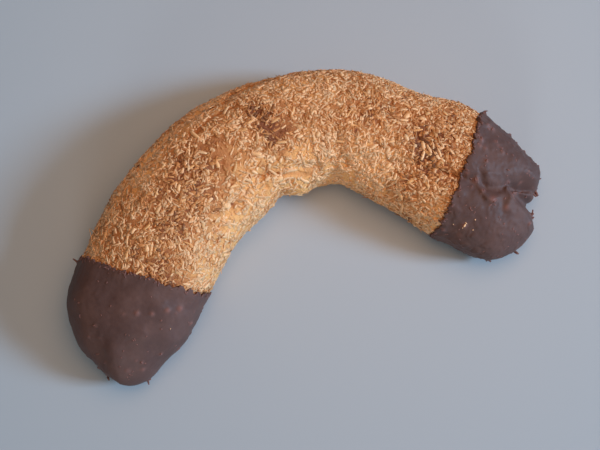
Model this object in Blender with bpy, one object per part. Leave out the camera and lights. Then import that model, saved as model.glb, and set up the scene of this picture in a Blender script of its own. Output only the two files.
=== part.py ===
"""A coconut crescent cookie: a bent roll of dough under coconut shreds, with both ends dipped in chocolate.

Metres, +Z up. The origin is the middle of the underside. +X runs from the left tip to the right tip, and the
crescent bulges towards +Y. The dough is one solid that runs through the whole crescent, and each chocolate
dip is a thin shell round one of its ends.
"""

import math
import random

import bmesh
import bpy
import numpy as np
from mathutils import Matrix, Vector, noise

MM = 0.001

# The finished roll, at even steps from tip to tip: x, y, half width and height, in millimetres.
# A nose rounds off what the table would leave blunt at each end.
STATIONS = [
    (-63.1, -38.8, 17.8, 17.0),
    (-59.3, -25.5, 19.3, 20.0),
    (-53.3, -14.2, 19.8, 22.5),
    (-44.8, -4.7, 20.0, 24.2),
    (-35.7, 4.4, 19.9, 25.0),
    (-25.0, 11.7, 19.6, 25.2),
    (-13.2, 16.9, 19.4, 24.8),
    (-0.6, 19.1, 18.8, 24.2),
    (12.2, 18.2, 18.4, 23.6),
    (24.2, 14.2, 18.0, 23.0),
    (34.0, 5.8, 18.5, 22.8),
    (43.9, -2.4, 20.0, 22.8),
    (51.4, -12.8, 20.1, 22.0),
    (58.5, -23.4, 19.4, 20.5),
    (66.4, -34.5, 18.6, 18.0),
]
STATION_STEP = 12.88 * MM
ROLL_LENGTH = STATION_STEP * (len(STATIONS) - 1)

# Each nose: its length, and the exponents of its outline seen from above.
LEFT_NOSE = (25.0 * MM, 1.8, 2.0)
RIGHT_NOSE = (26.0 * MM, 2.6, 2.2)
DOME_POWERS = (2.6, 2.0)
BELLY_POWERS = (4.0, 2.2)

# The cross section: where it is widest, as a share of the height, and how square it is above and below.
WIDEST_SHARE = 0.38
DOME_SQUARENESS = 2.15
BELLY_SQUARENESS = 2.7
BASE_SUNK = 1.4 * MM

# The layers, measured inwards from the finished outside.
SHRED_LAYER = 0.5 * MM
COAT = 1.2 * MM
GAP = 0.3 * MM
LIP_PROUD = 0.35 * MM
COAT_FADE = 5.0 * MM

# Each dip line lies on a plane: a point on it, the way towards the tip, in degrees from +X, and how far the
# plane leans over towards the tip for its height.
LEFT_DIP = (-49.4 * MM, -9.2 * MM, 9 * MM, -124.3, 0.09)
RIGHT_DIP = (51.5 * MM, -9.2 * MM, 9 * MM, -42.4, 0.0)

# How far each line runs past its plane, in millimetres, at even steps round the roll from its outer side.
LEFT_LINE = [
    0.0, -0.1, -0.2, -0.35, -0.55, -0.45, -0.1, 0.3, -0.25, 0.4, 0.35, -0.25, 1.05, 0.75, 0.2,
    0.0, 0.1, 0.3, 0.5, 0.5, 0.3, 0.0, -0.3, -0.4, -0.2, 0.1, 0.3, 0.2, 0.0, 0.0,
]
RIGHT_LINE = [
    0.15, -0.05, -0.3, -0.55, -0.6, -0.25, 0.6, -0.1, 0.25, 0.85, 0.7, 0.95, 1.2, 0.55, 0.2,
    0.2, 0.4, 0.5, 0.5, 0.3, 0.0, -0.3, -0.4, -0.2, 0.1, 0.4, 0.5, 0.4, 0.3, 0.2,
]

# Unevenness of the baked dough: size of the lumps, and how high they stand.
LUMPS = [(17.0 * MM, 0.55 * MM), (6.0 * MM, 0.28 * MM)]

# Valleys on the top and creases at the sides: points in plan, half width, and depth at each end.
FOLD_ROUTE = [(24, 1), (38, -7.5), (47, -13), (54, -18), (63, -20), (70, -24)]
OUTER_CREASE_ROUTE = [(-40, 20), (-28, 28), (-14, 33), (2, 36)]
INNER_CREASE_ROUTE = [(-24, -5), (-14, 2.5), (-5, 6), (4, 5), (10, 3)]
KINK_ROUTE = [(13, -1), (16, 6), (19, 14)]
CROSS_DENT_ROUTE = [(38, 15), (40, 7), (41, -1)]
VALLEYS = [
    (FOLD_ROUTE, 2.4, 0.3, 2.8),
    (OUTER_CREASE_ROUTE, 1.2, 0.5, 0.9),
    (INNER_CREASE_ROUTE, 1.3, 0.8, 1.1),
    (KINK_ROUTE, 2.2, 1.3, 0.1),
    (CROSS_DENT_ROUTE, 2.2, 0.3, 1.0),
]

# Small swellings and hollows of the outline, in millimetres: where, how far they reach, and the shift.
OUTLINE_SHIFTS = [
    (67.2, -28.0, 3.6, 2.2, -0.1),
    (74.4, -15.8, 3.4, 1.6, 0.3),
    (73.4, -23.0, 2.2, -1.2, 0.5),
    (51.5, -37.5, 6.0, -0.3, -1.0),
    (39.0, -29.5, 5.0, 0.6, 0.5),
    (67.0, 1.5, 4.0, 0.5, 0.4),
    (53.0, 16.5, 7.0, -0.4, -0.8),
    (-73.0, -8.5, 4.5, -0.7, 0.2),
    (-69.2, -32.6, 2.8, -0.9, -0.7),
    (-51.8, -37.0, 5.5, -0.4, 1.0),
    (-41.5, -30.0, 4.0, -0.2, 0.4),
    (5.5, 39.0, 7.0, -0.1, -0.9),
    (-7.0, 39.0, 6.0, 0.0, -0.4),
    (3.6, 0.0, 3.4, 0.0, -1.5),
    (-2.4, -0.5, 2.4, 0.0, 1.3),
    (-11.0, -3.2, 5.0, 0.3, -1.2),
    (27.5, -13.8, 5.0, -0.4, -0.5),
]

# The outer side of each end is a little shorter: how much, and where across the roll that starts, is full,
# fades and ends. On the right it parts two lobes, and a bite cuts deeper between them.
LEFT_SHORTER = (2.4 * MM, 2.5 * MM, 8 * MM, 13 * MM, 18 * MM)
RIGHT_SHORTER = (4.2 * MM, 0.0, 4 * MM, 9 * MM, 13 * MM)
SHORTER_REACH = 17.0 * MM
BITE_DEPTH = 3.0 * MM
BITE_PLACE = 4.3 * MM
BITE_HALF_WIDTH = 2.4 * MM

RING_POINTS = 30
BODY_RINGS = 38
NOSE_RINGS = 12
NOSE_CROWDING = 1.7

# Coconut shreds: length, width and thickness of the largest, and how they lie.
SHRED_ROWS, SHREDS_A_ROW = 24, 10
SHRED_LENGTH = (2.8 * MM, 4.2 * MM)
SHRED_WIDTH = (0.8 * MM, 1.2 * MM)
SHRED_THICKNESS = 0.55 * MM
SHRED_STRAY = 0.32
SHRED_TILT = 14.0
CLEAR_OF_DIP = 3.8 * MM
SHRED_LOWEST = 2.0 * MM
SHRED_BELOW = 0.6

# Beads and peaks of set chocolate: roughly where, in millimetres, radius, and how far each is drawn out.
LEFT_BEADS = [
    (-69, 1, 9, 0.7, 1.0),
    (-71.4, -31.2, 6, 0.8, 1.2),
    (-69.4, -33.6, 5, 0.8, 1.2),
    (-59.6, -38.8, 6, 0.7, 1.2),
    (-52.9, -20.6, 24, 0.7, 0.9),
    (-49.3, -21.9, 24, 0.6, 0.9),
    (-44.6, -22.8, 22, 0.7, 0.9),
    (-41.6, -22.7, 20, 0.8, 0.9),
    (-63.6, -19.6, 21, 0.7, 0.9),
]
RIGHT_BEADS = [
    (71.7, -24.8, 8, 0.8, 1.2),
    (69.4, -29.2, 7, 0.8, 1.1),
    (60.6, -39.0, 4, 0.7, 1.7),
    (76.6, -17.0, 8, 0.9, 1.1),
    (70.8, -4.2, 10, 0.7, 1.1),
    (65.6, 5.6, 12, 0.6, 1.0),
    (44.9, -27.2, 24, 0.7, 0.9),
    (55.4, -26.3, 22, 0.8, 0.9),
]

BEAD_SUNK = 0.35

BAKED_COLOUR = (0.52, 0.27, 0.11, 1.0)
CHOCOLATE_COLOUR = (0.075, 0.042, 0.034, 1.0)

SEED = 5760


def clear_scene():
    for item in list(bpy.data.objects):
        bpy.data.objects.remove(item, do_unlink=True)


def make_material(name, colour, roughness):
    material = bpy.data.materials.new(name)
    material.use_nodes = True
    shader = material.node_tree.nodes["Principled BSDF"]
    shader.inputs["Base Color"].default_value = colour
    shader.inputs["Roughness"].default_value = roughness
    shader.inputs["Metallic"].default_value = 0.0
    return material


def smooth(low, high, value):
    """0 below low, 1 above high, and a smooth rise between."""
    share = min(1.0, max(0.0, (value - low) / (high - low)))
    return share * share * (3 - 2 * share)


def station(s):
    """The middle of the roll, half width and height at a distance s from the left tip."""
    place = min(max(s / STATION_STEP, 0.0), len(STATIONS) - 1.0)
    i = min(int(place), len(STATIONS) - 2)
    t = place - i
    last = len(STATIONS) - 1
    rows = [np.array(STATIONS[j]) * MM for j in (max(i - 1, 0), i, i + 1, min(i + 2, last))]
    if i == 0:
        rows[0] = 2 * rows[1] - rows[2]
    if i == last - 1:
        rows[3] = 2 * rows[2] - rows[1]
    a, b, c, d = rows
    x, y, width, height = 0.5 * (
        2 * b + (c - a) * t + (2 * a - 5 * b + 4 * c - d) * t**2 + (3 * b - a - 3 * c + d) * t**3
    )
    return Vector((x, y, 0)), width, height


def heading(s):
    """The way the roll runs at s, as a unit vector in plan."""
    reach = 0.5 * MM
    return (station(s + reach)[0] - station(s - reach)[0]).normalized()


def nose(s, inset):
    """How much of the section's width, dome and belly is left at s, for a surface that lies inset deep."""
    from_right = s > ROLL_LENGTH / 2
    length, side_power, end_power = RIGHT_NOSE if from_right else LEFT_NOSE
    from_tip = ROLL_LENGTH - s if from_right else s
    depth = min(1.0, max(0.0, (length - from_tip) / (length - inset)))
    side = (1 - depth**end_power) ** (1 / side_power)
    dome = (1 - depth ** DOME_POWERS[0]) ** (1 / DOME_POWERS[1])
    belly = (1 - depth ** BELLY_POWERS[0]) ** (1 / BELLY_POWERS[1])
    return side, dome, belly


def bowed(value, squareness):
    """A sine or cosine, made squarer for a superellipse."""
    return math.copysign(abs(value) ** (2 / squareness), value)


def dip_depth(point, dip):
    """How far a point lies past a dip line towards the tip."""
    x, y, z, turn, lean = dip
    way = Vector((math.cos(math.radians(turn)), math.sin(math.radians(turn)), -lean))
    return (point - Vector((x, y, z))).dot(way)


def past_dips(point):
    return max(dip_depth(point, LEFT_DIP), dip_depth(point, RIGHT_DIP))


def dough_inset(point):
    """How deep the dough lies below the finished outside: under shreds, and under chocolate at the ends."""
    return SHRED_LAYER + (COAT + GAP - SHRED_LAYER) * smooth(-1 * MM, COAT_FADE, past_dips(point))


def valley_depth(point):
    """How far the creases and folds pull the surface in at a point in plan."""
    total = 0.0
    for route, half_width, first, last in VALLEYS:
        points = np.array(route, float)
        steps = np.diff(points, axis=0)
        lengths = np.linalg.norm(steps, axis=1)
        away = np.array([point.x, point.y]) / MM - points[:-1]
        shares = np.clip((away * steps).sum(axis=1) / lengths**2, 0, 1)
        misses = np.linalg.norm(away - steps * shares[:, None], axis=1)
        nearest = int(misses.argmin())
        along = (lengths[:nearest].sum() + lengths[nearest] * shares[nearest]) / lengths.sum()
        depth = first + (last - first) * along
        total += depth * MM * math.exp(-((misses[nearest] / half_width) ** 2))
    return total


def lump_height(point):
    return sum(height * noise.noise(point / size) for size, height in LUMPS)


def pulled_back(s, across):
    """How far an end is pulled back along the roll, at a distance across from its middle line."""
    at_right = s > ROLL_LENGTH / 2
    shorter, starts, full, fades, ends = RIGHT_SHORTER if at_right else LEFT_SHORTER
    amount = shorter * smooth(starts, full, across) * (1 - smooth(fades, ends, across))
    if at_right:
        amount += BITE_DEPTH * math.exp(-(((across - BITE_PLACE) / BITE_HALF_WIDTH) ** 2))
    from_tip = ROLL_LENGTH - s if at_right else s
    return amount * (1 - smooth(4 * MM, SHORTER_REACH, from_tip)) * (-1 if at_right else 1)


def plain_point(s, angle, inset, underside):
    """A point of the smooth roll that lies inset below the finished outside: across it, and up.

    Angle 0 is the outer side, a quarter turn the top. The flat underside is at the height given.
    """
    _, width, height = station(s)
    side, dome, belly = nose(s, inset)
    widest = WIDEST_SHARE * height
    squareness = DOME_SQUARENESS if math.sin(angle) > 0 else BELLY_SQUARENESS
    across = (width - inset) * side * bowed(math.cos(angle), squareness)
    rise = bowed(math.sin(angle), squareness)
    if rise > 0:
        up = widest + (height - inset - widest) * dome * rise
    else:
        up = widest + (widest - underside + BASE_SUNK) * belly * rise
    return across, max(up, underside), rise


def outside_place(s, inset):
    """The place on the finished outside that matches a place on a surface inset below it."""
    at_right = s > ROLL_LENGTH / 2
    length = (RIGHT_NOSE if at_right else LEFT_NOSE)[0]
    from_tip = ROLL_LENGTH - s if at_right else s
    if from_tip < length:
        from_tip = (from_tip - inset) * length / (length - inset)
    return ROLL_LENGTH - from_tip if at_right else from_tip


def skin_point(s, angle, inset, underside):
    """A point of the uneven roll. Its relief is the finished outside's, so that all layers run alike."""
    across, up, _ = plain_point(s, angle, inset, underside)
    along = heading(s)
    outer = Vector((-along.y, along.x, 0))
    place = outside_place(s, inset)
    outside_across, outside_up, rise = plain_point(place, angle, 0, 0)
    outside = station(place)[0] + outer * outside_across + Vector((0, 0, outside_up))
    outward = outer * math.cos(angle) + Vector((0, 0, math.sin(angle)))
    relief = lump_height(outside) - valley_depth(outside) * smooth(-0.1, 0.35, rise)
    middle = station(s)[0] + along * pulled_back(place, outside_across)
    swelling = outward * relief * smooth(0, 5 * MM, outside_up)
    return shifted(middle + outer * across + Vector((0, 0, up)) + swelling)


def shifted(point):
    """A point moved sideways by the swellings and hollows of the outline."""
    moved = point.copy()
    for x, y, reach, right, away in OUTLINE_SHIFTS:
        miss = math.hypot(point.x / MM - x, point.y / MM - y)
        share = math.exp(-((miss / reach) ** 2))
        moved += Vector((right, away, 0)) * share * MM
    return moved


def dough_point(s, angle, grown=0.0):
    """A point of the dough's own surface, or of one that is grown by a little."""
    rough = skin_point(s, angle, SHRED_LAYER, 0.0)
    lifted = (COAT + GAP) * smooth(-COAT_FADE, 2 * MM, past_dips(rough))
    return skin_point(s, angle, dough_inset(rough) - grown, lifted - grown)


def dip_place(dip, angle):
    """The distance along the roll where its surface crosses the dip line, at an angle round it."""
    at_right = dip is RIGHT_DIP
    s = ROLL_LENGTH - RIGHT_NOSE[0] if at_right else LEFT_NOSE[0]
    line = RIGHT_LINE if at_right else LEFT_LINE
    places = np.linspace(0, 2 * math.pi, len(line), endpoint=False)
    wave = MM * np.interp(angle, places, line, period=2 * math.pi)
    way = 1 if at_right else -1
    for _ in range(12):
        s -= way * 0.8 * (dip_depth(skin_point(s, angle, 0, 0), dip) - wave)
    return s


def nose_places(dip, angle, inset):
    """Places along a dipped end, from its tip to its dip line, closer together towards the tip."""
    start = dip_place(dip, angle)
    reach = ROLL_LENGTH - start if dip is RIGHT_DIP else start
    steps = [inset + (reach - inset) * (j / NOSE_RINGS) ** NOSE_CROWDING for j in range(1, NOSE_RINGS + 1)]
    return [ROLL_LENGTH - step for step in steps] if dip is RIGHT_DIP else steps


def dough_places(angle):
    """Places along the whole dough, whose rings lean with the dip lines."""
    left = nose_places(LEFT_DIP, angle, COAT + GAP)
    right = nose_places(RIGHT_DIP, angle, COAT + GAP)
    between = np.linspace(left[-1], right[-1], BODY_RINGS + 2)[1:-1]
    return left + list(between) + right[::-1]


def ring_angles():
    return [2 * math.pi * i / RING_POINTS for i in range(RING_POINTS)]


def loft(name, rings, first_tip, last_tip, from_right=()):
    """One closed solid through rings of points, with each end closed by a fan round a tip.

    Neighbouring layers split their faces along the same diagonal, so that they run parallel. The strips that
    run from the right are named, and take the other one.
    """
    shape = bmesh.new()
    loops = [[shape.verts.new(point) for point in ring] for ring in rings]
    for strip, (here, there) in enumerate(zip(loops, loops[1:])):
        for i, point in enumerate(here):
            j = (i + 1) % len(here)
            if strip in from_right:
                shape.faces.new((point, here[j], there[i]))
                shape.faces.new((here[j], there[j], there[i]))
            else:
                shape.faces.new((point, here[j], there[j]))
                shape.faces.new((point, there[j], there[i]))
    for loop, tip in ((loops[0], first_tip), (loops[-1], last_tip)):
        fan = bmesh.ops.poke(shape, faces=[shape.faces.new(loop)])
        fan["verts"][0].co = tip
    bmesh.ops.recalc_face_normals(shape, faces=shape.faces)
    return mesh_object(name, shape)


def mesh_object(name, shape):
    mesh = bpy.data.meshes.new(name)
    shape.to_mesh(mesh)
    shape.free()
    made = bpy.data.objects.new(name, mesh)
    bpy.context.scene.collection.objects.link(made)
    return made


def tip_of(ring, dip):
    """A point a little beyond the middle of the last ring of a nose."""
    at_right = dip is RIGHT_DIP
    way = heading(ROLL_LENGTH) if at_right else -heading(0)
    return sum(ring, Vector()) / len(ring) + way * 0.2 * MM


def make_dough():
    columns = [[dough_point(s, angle) for s in dough_places(angle)] for angle in ring_angles()]
    rings = list(zip(*columns))
    return loft("coconut_crescent", rings, tip_of(rings[0], LEFT_DIP), tip_of(rings[-1], RIGHT_DIP))


def make_coat(name, dip):
    """One chocolate dip: a cup round the dough's end, with its inside first and its outside after the lip."""
    columns = []
    for angle in ring_angles():
        start = dip_place(dip, angle)
        inside = [dough_point(s, angle, grown=GAP) for s in nose_places(dip, angle, COAT)]
        outside = []
        for s in nose_places(dip, angle, 0.0)[::-1]:
            proud = LIP_PROUD * (1 - smooth(0, 5 * MM, abs(s - start)))
            outside.append(skin_point(s, angle, -proud, 0.0))
        columns.append(inside + outside)
    rings = list(zip(*columns))
    from_right = range(NOSE_RINGS) if dip is RIGHT_DIP else range(NOSE_RINGS, 2 * NOSE_RINGS)
    return loft(name, rings, tip_of(rings[0], dip), tip_of(rings[-1], dip), from_right)


def make_bead(coat, bead):
    """A bead of set chocolate on the nearest place of the coat, drawn out to a soft peak."""
    x, y, z, radius, drawn = bead
    _, spot, out, _ = coat.closest_point_on_mesh(Vector((x, y, z)) * MM)
    shape = bmesh.new()
    ball = bmesh.ops.create_icosphere(shape, subdivisions=1, radius=radius * MM)["verts"]
    bmesh.ops.scale(shape, vec=(1, 1, drawn), verts=ball)
    bmesh.ops.rotate(shape, matrix=Vector((0, 0, 1)).rotation_difference(out).to_matrix(), verts=ball)
    bmesh.ops.translate(shape, vec=spot + out * (drawn - BEAD_SUNK) * radius * MM, verts=ball)
    return mesh_object("bead", shape)


def add_boolean(target, collection):
    modifier = target.modifiers.new("Union", "BOOLEAN")
    modifier.operation = "UNION"
    modifier.solver = "EXACT"
    modifier.operand_type = "COLLECTION"
    modifier.collection = collection


def apply_modifiers(target):
    graph = bpy.context.evaluated_depsgraph_get()
    old = target.data
    target.data = bpy.data.meshes.new_from_object(target.evaluated_get(graph))
    target.modifiers.clear()
    bpy.data.meshes.remove(old)


def keep_largest_shell(target):
    """Fills sealed hollows and drops loose scraps: only the largest closed shell stays."""
    shape = bmesh.new()
    shape.from_mesh(target.data)
    waiting = set(shape.verts)
    shells = []
    while waiting:
        shell = {waiting.pop()}
        edge_of_search = set(shell)
        while edge_of_search:
            near = {edge.other_vert(vert) for vert in edge_of_search for edge in vert.link_edges}
            edge_of_search = near - shell
            shell |= edge_of_search
        waiting -= shell
        shells.append(shell)
    shells.sort(key=len)
    for scrap in shells[:-1]:
        bmesh.ops.delete(shape, geom=list(scrap), context="VERTS")
    shape.to_mesh(target.data)
    shape.free()


def gathered(name, items):
    """A new collection that holds the given objects alone."""
    collection = bpy.data.collections.new(name)
    bpy.context.scene.collection.children.link(collection)
    for item in items:
        bpy.context.scene.collection.objects.unlink(item)
        collection.objects.link(item)
    return collection


def discard(collection):
    for item in list(collection.objects):
        bpy.data.objects.remove(item, do_unlink=True)
    bpy.data.collections.remove(collection)


def make_dip(name, dip, beads):
    """One chocolate dip with its beads fused on."""
    coat = make_coat(name, dip)
    collection = gathered("beads", [make_bead(coat, bead) for bead in beads])
    add_boolean(coat, collection)
    apply_modifiers(coat)
    keep_largest_shell(coat)
    discard(collection)
    return coat


def shred_frame(s, angle):
    """A point on the dough and the axes there: along the roll, round it, and out of it."""
    reach = 0.4 * MM
    point = dough_point(s, angle)
    along = dough_point(s + reach, angle) - dough_point(s - reach, angle)
    turn = 0.05
    around = dough_point(s, angle + turn) - dough_point(s, angle - turn)
    out = along.cross(around).normalized()
    if out.dot(point - station(s)[0] - Vector((0, 0, 9 * MM))) < 0:
        out = -out
    along.normalize()
    return point, along, out.cross(along), out


def scattered_shreds(draw):
    """Places for the shreds, in staggered rows that each stray a little, over the top and the sides."""
    places = []
    row_step = (ROLL_LENGTH - LEFT_NOSE[0] - RIGHT_NOSE[0]) / SHRED_ROWS
    turn_step = (math.pi + 2 * SHRED_BELOW) / SHREDS_A_ROW
    for row in range(SHRED_ROWS):
        for place in range(SHREDS_A_ROW):
            stray = draw.uniform(-SHRED_STRAY, SHRED_STRAY)
            sideways = draw.uniform(-SHRED_STRAY, SHRED_STRAY)
            s = LEFT_NOSE[0] + (row + 0.5 + stray) * row_step
            angle = (place + 0.5 * (row % 2) + sideways) * turn_step - SHRED_BELOW
            point = dough_point(s, angle)
            if point.z > SHRED_LOWEST and past_dips(point) < -CLEAR_OF_DIP:
                places.append((s, angle))
    return places


def make_shred(draw, s, angle):
    """One coconut shred: a thin tapered strip, a little bent, half sunk in the dough."""
    shape = bmesh.new()
    strip = bmesh.ops.create_cube(shape, size=1)["verts"]
    length = draw.uniform(*SHRED_LENGTH)
    width = draw.uniform(*SHRED_WIDTH)
    bmesh.ops.scale(shape, vec=(length, width, SHRED_THICKNESS), verts=strip)
    narrow = draw.uniform(0.45, 0.9)
    skew = draw.uniform(-0.3, 0.3)
    for corner in strip:
        if corner.co.x > 0:
            corner.co.y = corner.co.y * narrow + skew * width
    point, along, around, out = shred_frame(s, angle)
    axes = Matrix((along, around, out)).transposed()
    spin = Matrix.Rotation(draw.uniform(0, math.pi), 3, "Z")
    tilt = Matrix.Rotation(math.radians(draw.uniform(-SHRED_TILT, SHRED_TILT)), 3, "Y")
    bmesh.ops.rotate(shape, matrix=axes @ spin @ tilt, verts=strip)
    bmesh.ops.translate(shape, vec=point + out * 0.12 * SHRED_THICKNESS, verts=strip)
    return mesh_object("shred", shape)


def make_crescent():
    """The dough with its shreds fused on, as one solid."""
    crescent = make_dough()
    draw = random.Random(SEED)
    shreds = [make_shred(draw, s, angle) for s, angle in scattered_shreds(draw)]
    collection = gathered("shreds", shreds)
    add_boolean(crescent, collection)
    apply_modifiers(crescent)
    keep_largest_shell(crescent)
    discard(collection)
    return crescent


def centre_on_underside(parts):
    """Puts the origin at the middle of the underside of all parts together."""
    corners = [vertex.co for part in parts for vertex in part.data.vertices]
    low = Vector([min(corner[axis] for corner in corners) for axis in range(3)])
    high = Vector([max(corner[axis] for corner in corners) for axis in range(3)])
    shift = Vector((-(low.x + high.x) / 2, -(low.y + high.y) / 2, -low.z))
    for part in parts:
        part.data.transform(Matrix.Translation(shift))


def finish(part, material):
    part.data.materials.clear()
    part.data.materials.append(material)
    part.data.shade_smooth()
    part.data.set_sharp_from_angle(angle=math.radians(35))


def main():
    clear_scene()
    crescent = make_crescent()
    left = make_dip("chocolate_left", LEFT_DIP, LEFT_BEADS)
    right = make_dip("chocolate_right", RIGHT_DIP, RIGHT_BEADS)
    centre_on_underside([crescent, left, right])
    baked = make_material("baked_coconut", BAKED_COLOUR, 0.8)
    chocolate = make_material("chocolate", CHOCOLATE_COLOUR, 0.4)
    finish(crescent, baked)
    finish(left, chocolate)
    finish(right, chocolate)


main()
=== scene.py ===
"""Dresses the coconut crescent cookie: baked crust, coconut shreds and flakes, and two chocolate dips.

The shape values repeat those of the solids, so that each piece lies where its solid does.
"""

import math
import random

import bmesh
import bpy
import numpy as np
from mathutils import Matrix, Vector, noise
from mathutils.kdtree import KDTree


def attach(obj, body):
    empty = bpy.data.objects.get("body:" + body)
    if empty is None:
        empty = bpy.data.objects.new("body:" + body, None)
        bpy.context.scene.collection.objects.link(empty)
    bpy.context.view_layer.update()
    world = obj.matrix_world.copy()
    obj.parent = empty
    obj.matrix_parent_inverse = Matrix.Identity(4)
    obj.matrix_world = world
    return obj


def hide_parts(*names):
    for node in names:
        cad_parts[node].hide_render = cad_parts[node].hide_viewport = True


bl_info = {
    "name": "Coconut crescent cookie",
    "version": (1, 0, 0),
    "blender": (4, 5, 0),
    "location": "3D View > Sidebar > Cookie",
    "description": "Baked crust, coconut shreds and chocolate dips for the packed crescent",
    "category": "Object",
}

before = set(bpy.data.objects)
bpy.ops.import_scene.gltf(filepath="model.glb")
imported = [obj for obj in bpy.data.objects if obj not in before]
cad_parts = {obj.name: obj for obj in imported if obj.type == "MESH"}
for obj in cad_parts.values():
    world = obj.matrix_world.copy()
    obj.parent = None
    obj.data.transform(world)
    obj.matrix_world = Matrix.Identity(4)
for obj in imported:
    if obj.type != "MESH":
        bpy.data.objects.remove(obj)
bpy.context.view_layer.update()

MM = 0.001
LEFT, RIGHT = 0, 1
SEED = 5760

# The finished roll, at even steps from tip to tip: x, y, half width and height, in millimetres.
STATIONS = [
    (-63.1, -38.8, 17.8, 17), (-59.3, -25.5, 19.3, 20), (-53.3, -14.2, 19.8, 22.5), (-44.8, -4.7, 20, 24.2),
    (-35.7, 4.4, 19.9, 25), (-25, 11.7, 19.6, 25.2), (-13.2, 16.9, 19.4, 24.8), (-0.6, 19.1, 18.8, 24.2),
    (12.2, 18.2, 18.4, 23.6), (24.2, 14.2, 18, 23), (34, 5.8, 18.5, 22.8), (43.9, -2.4, 20, 22.8),
    (51.4, -12.8, 20.1, 22), (58.5, -23.4, 19.4, 20.5), (66.4, -34.5, 18.6, 18),
]
STATION_STEP = 12.88 * MM
ROLL_LENGTH = STATION_STEP * (len(STATIONS) - 1)

# Each end: how far its nose reaches, and two powers for its round; then the powers of the dome and belly.
NOSES = ((25.0 * MM, 1.8, 2.0), (26.0 * MM, 2.6, 2.2))
DOME_POWERS, BELLY_POWERS = (2.6, 2.0), (4.0, 2.2)
WIDEST_SHARE = 0.38
DOME_SQUARENESS, BELLY_SQUARENESS = 2.15, 2.7
BASE_SUNK = 1.4 * MM

# From the roll's own table to the frame, whose origin is the middle of the underside.
TO_FRAME = (-0.87575 * MM, 1.36991 * MM, 0.0)

# The layers, measured inwards from the finished outside.
SHRED_LAYER = 0.5 * MM
COAT = 1.2 * MM
GAP = 0.3 * MM
LIP_PROUD = 0.35 * MM
COAT_FADE = 5.0 * MM
LIP_RAG = 1.0 * MM

# Each dip line: a point on it in millimetres, the way towards the tip in degrees, and its plane's lean.
DIPS = ((-49.4, -9.2, 9, -124.3, 0.09), (51.5, -9.2, 9, -42.4, 0.0))
# How far each line runs past its plane, in millimetres, at even steps round the roll from its outer side.
LEFT_LINE = [
    0, -0.1, -0.2, -0.35, -0.55, -0.45, -0.1, 0.3, -0.25, 0.4, 0.35, -0.25, 1.05, 0.75, 0.2, 0, 0.1, 0.3, 0.5,
    0.5, 0.3, 0, -0.3, -0.4, -0.2, 0.1, 0.3, 0.2, 0, 0,
]
RIGHT_LINE = [
    0.15, -0.05, -0.3, -0.55, -0.6, -0.25, 0.6, -0.1, 0.25, 0.85, 0.7, 0.95, 1.2, 0.55, 0.2, 0.2, 0.4, 0.5,
    0.5, 0.3, 0, -0.3, -0.4, -0.2, 0.1, 0.4, 0.5, 0.4, 0.3, 0.2,
]

# Lumps of the dough, which the solid has too, and the finer grain of the crust: size and height.
LUMPS = ((17.0 * MM, 0.55 * MM), (6.0 * MM, 0.28 * MM))
GRAIN = ((2.7 * MM, 0.22 * MM), (1.1 * MM, 0.13 * MM))

# Valleys and creases that the solids have too: points in plan, half width, and depth at each end.
VALLEYS = [
    ([(24, 1), (38, -7.5), (47, -13), (54, -18), (63, -20), (70, -24)], 2.4, 0.3, 2.8),
    ([(-40, 20), (-28, 28), (-14, 33), (2, 36)], 1.2, 0.5, 0.9),
    ([(-24, -5), (-14, 2.5), (-5, 6), (4, 5), (10, 3)], 1.3, 0.8, 1.1),
    ([(13, -1), (16, 6), (19, 14)], 2.2, 1.3, 0.1), ([(38, 15), (40, 7), (41, -1)], 2.2, 0.3, 1),
]

# Small swellings and hollows of the outline, in millimetres: where, how far they reach, and the shift.
OUTLINE_SHIFTS = [
    (67.2, -28, 3.6, 2.2, -0.1), (74.4, -15.8, 3.4, 1.6, 0.3), (73.4, -23, 2.2, -1.2, 0.5),
    (51.5, -37.5, 6, -0.3, -1), (39, -29.5, 5, 0.6, 0.5), (67, 1.5, 4, 0.5, 0.4), (53, 16.5, 7, -0.4, -0.8),
    (-73, -8.5, 4.5, -0.7, 0.2), (-69.2, -32.6, 2.8, -0.9, -0.7), (-51.8, -37, 5.5, -0.4, 1),
    (-41.5, -30, 4, -0.2, 0.4), (5.5, 39, 7, -0.1, -0.9), (-7, 39, 6, 0, -0.4), (3.6, 0, 3.4, 0, -1.5),
    (-2.4, -0.5, 2.4, 0, 1.3), (-11, -3.2, 5, 0.3, -1.2), (27.5, -13.8, 5, -0.4, -0.5),
]

# How far each end is pulled back, and where across it that starts, is full, fades and ends.
SHORTER = ((2.4 * MM, 2.5 * MM, 8 * MM, 13 * MM, 18 * MM), (4.2 * MM, 0.0, 4 * MM, 9 * MM, 13 * MM))
SHORTER_REACH = 17.0 * MM
BITE_DEPTH, BITE_PLACE, BITE_HALF_WIDTH = 3.0 * MM, 4.3 * MM, 2.4 * MM

# The largest shreds, which the solid has too.
SHRED_ROWS, SHREDS_A_ROW = 24, 10
LARGE_LENGTH, LARGE_WIDTH = (2.8 * MM, 4.2 * MM), (0.8 * MM, 1.2 * MM)
LARGE_STRAY, LARGE_TILT = 0.32, 14.0
CLEAR_OF_DIP, LARGE_LOWEST = 3.8 * MM, 2.0 * MM
SHRED_BELOW = 0.6

# Columns of a strip's sizes that are set again after the others are drawn.
SPIN, TILT = 8, 9

# How each coat folds back inside at its lip, in millimetres: how far past the lip, and how deep.
LIP_FOLD = ((0.16, -0.24), (0.25, 0.0), (0.2, 0.35), (-0.4, 0.8), (-1.6, 1.15))

# Rings and points in each ring, of the crust between the lips and of each coat.
CRUST_RINGS, CRUST_TURN = 270, 240
COAT_RINGS, COAT_TURN = 118, 264

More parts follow.
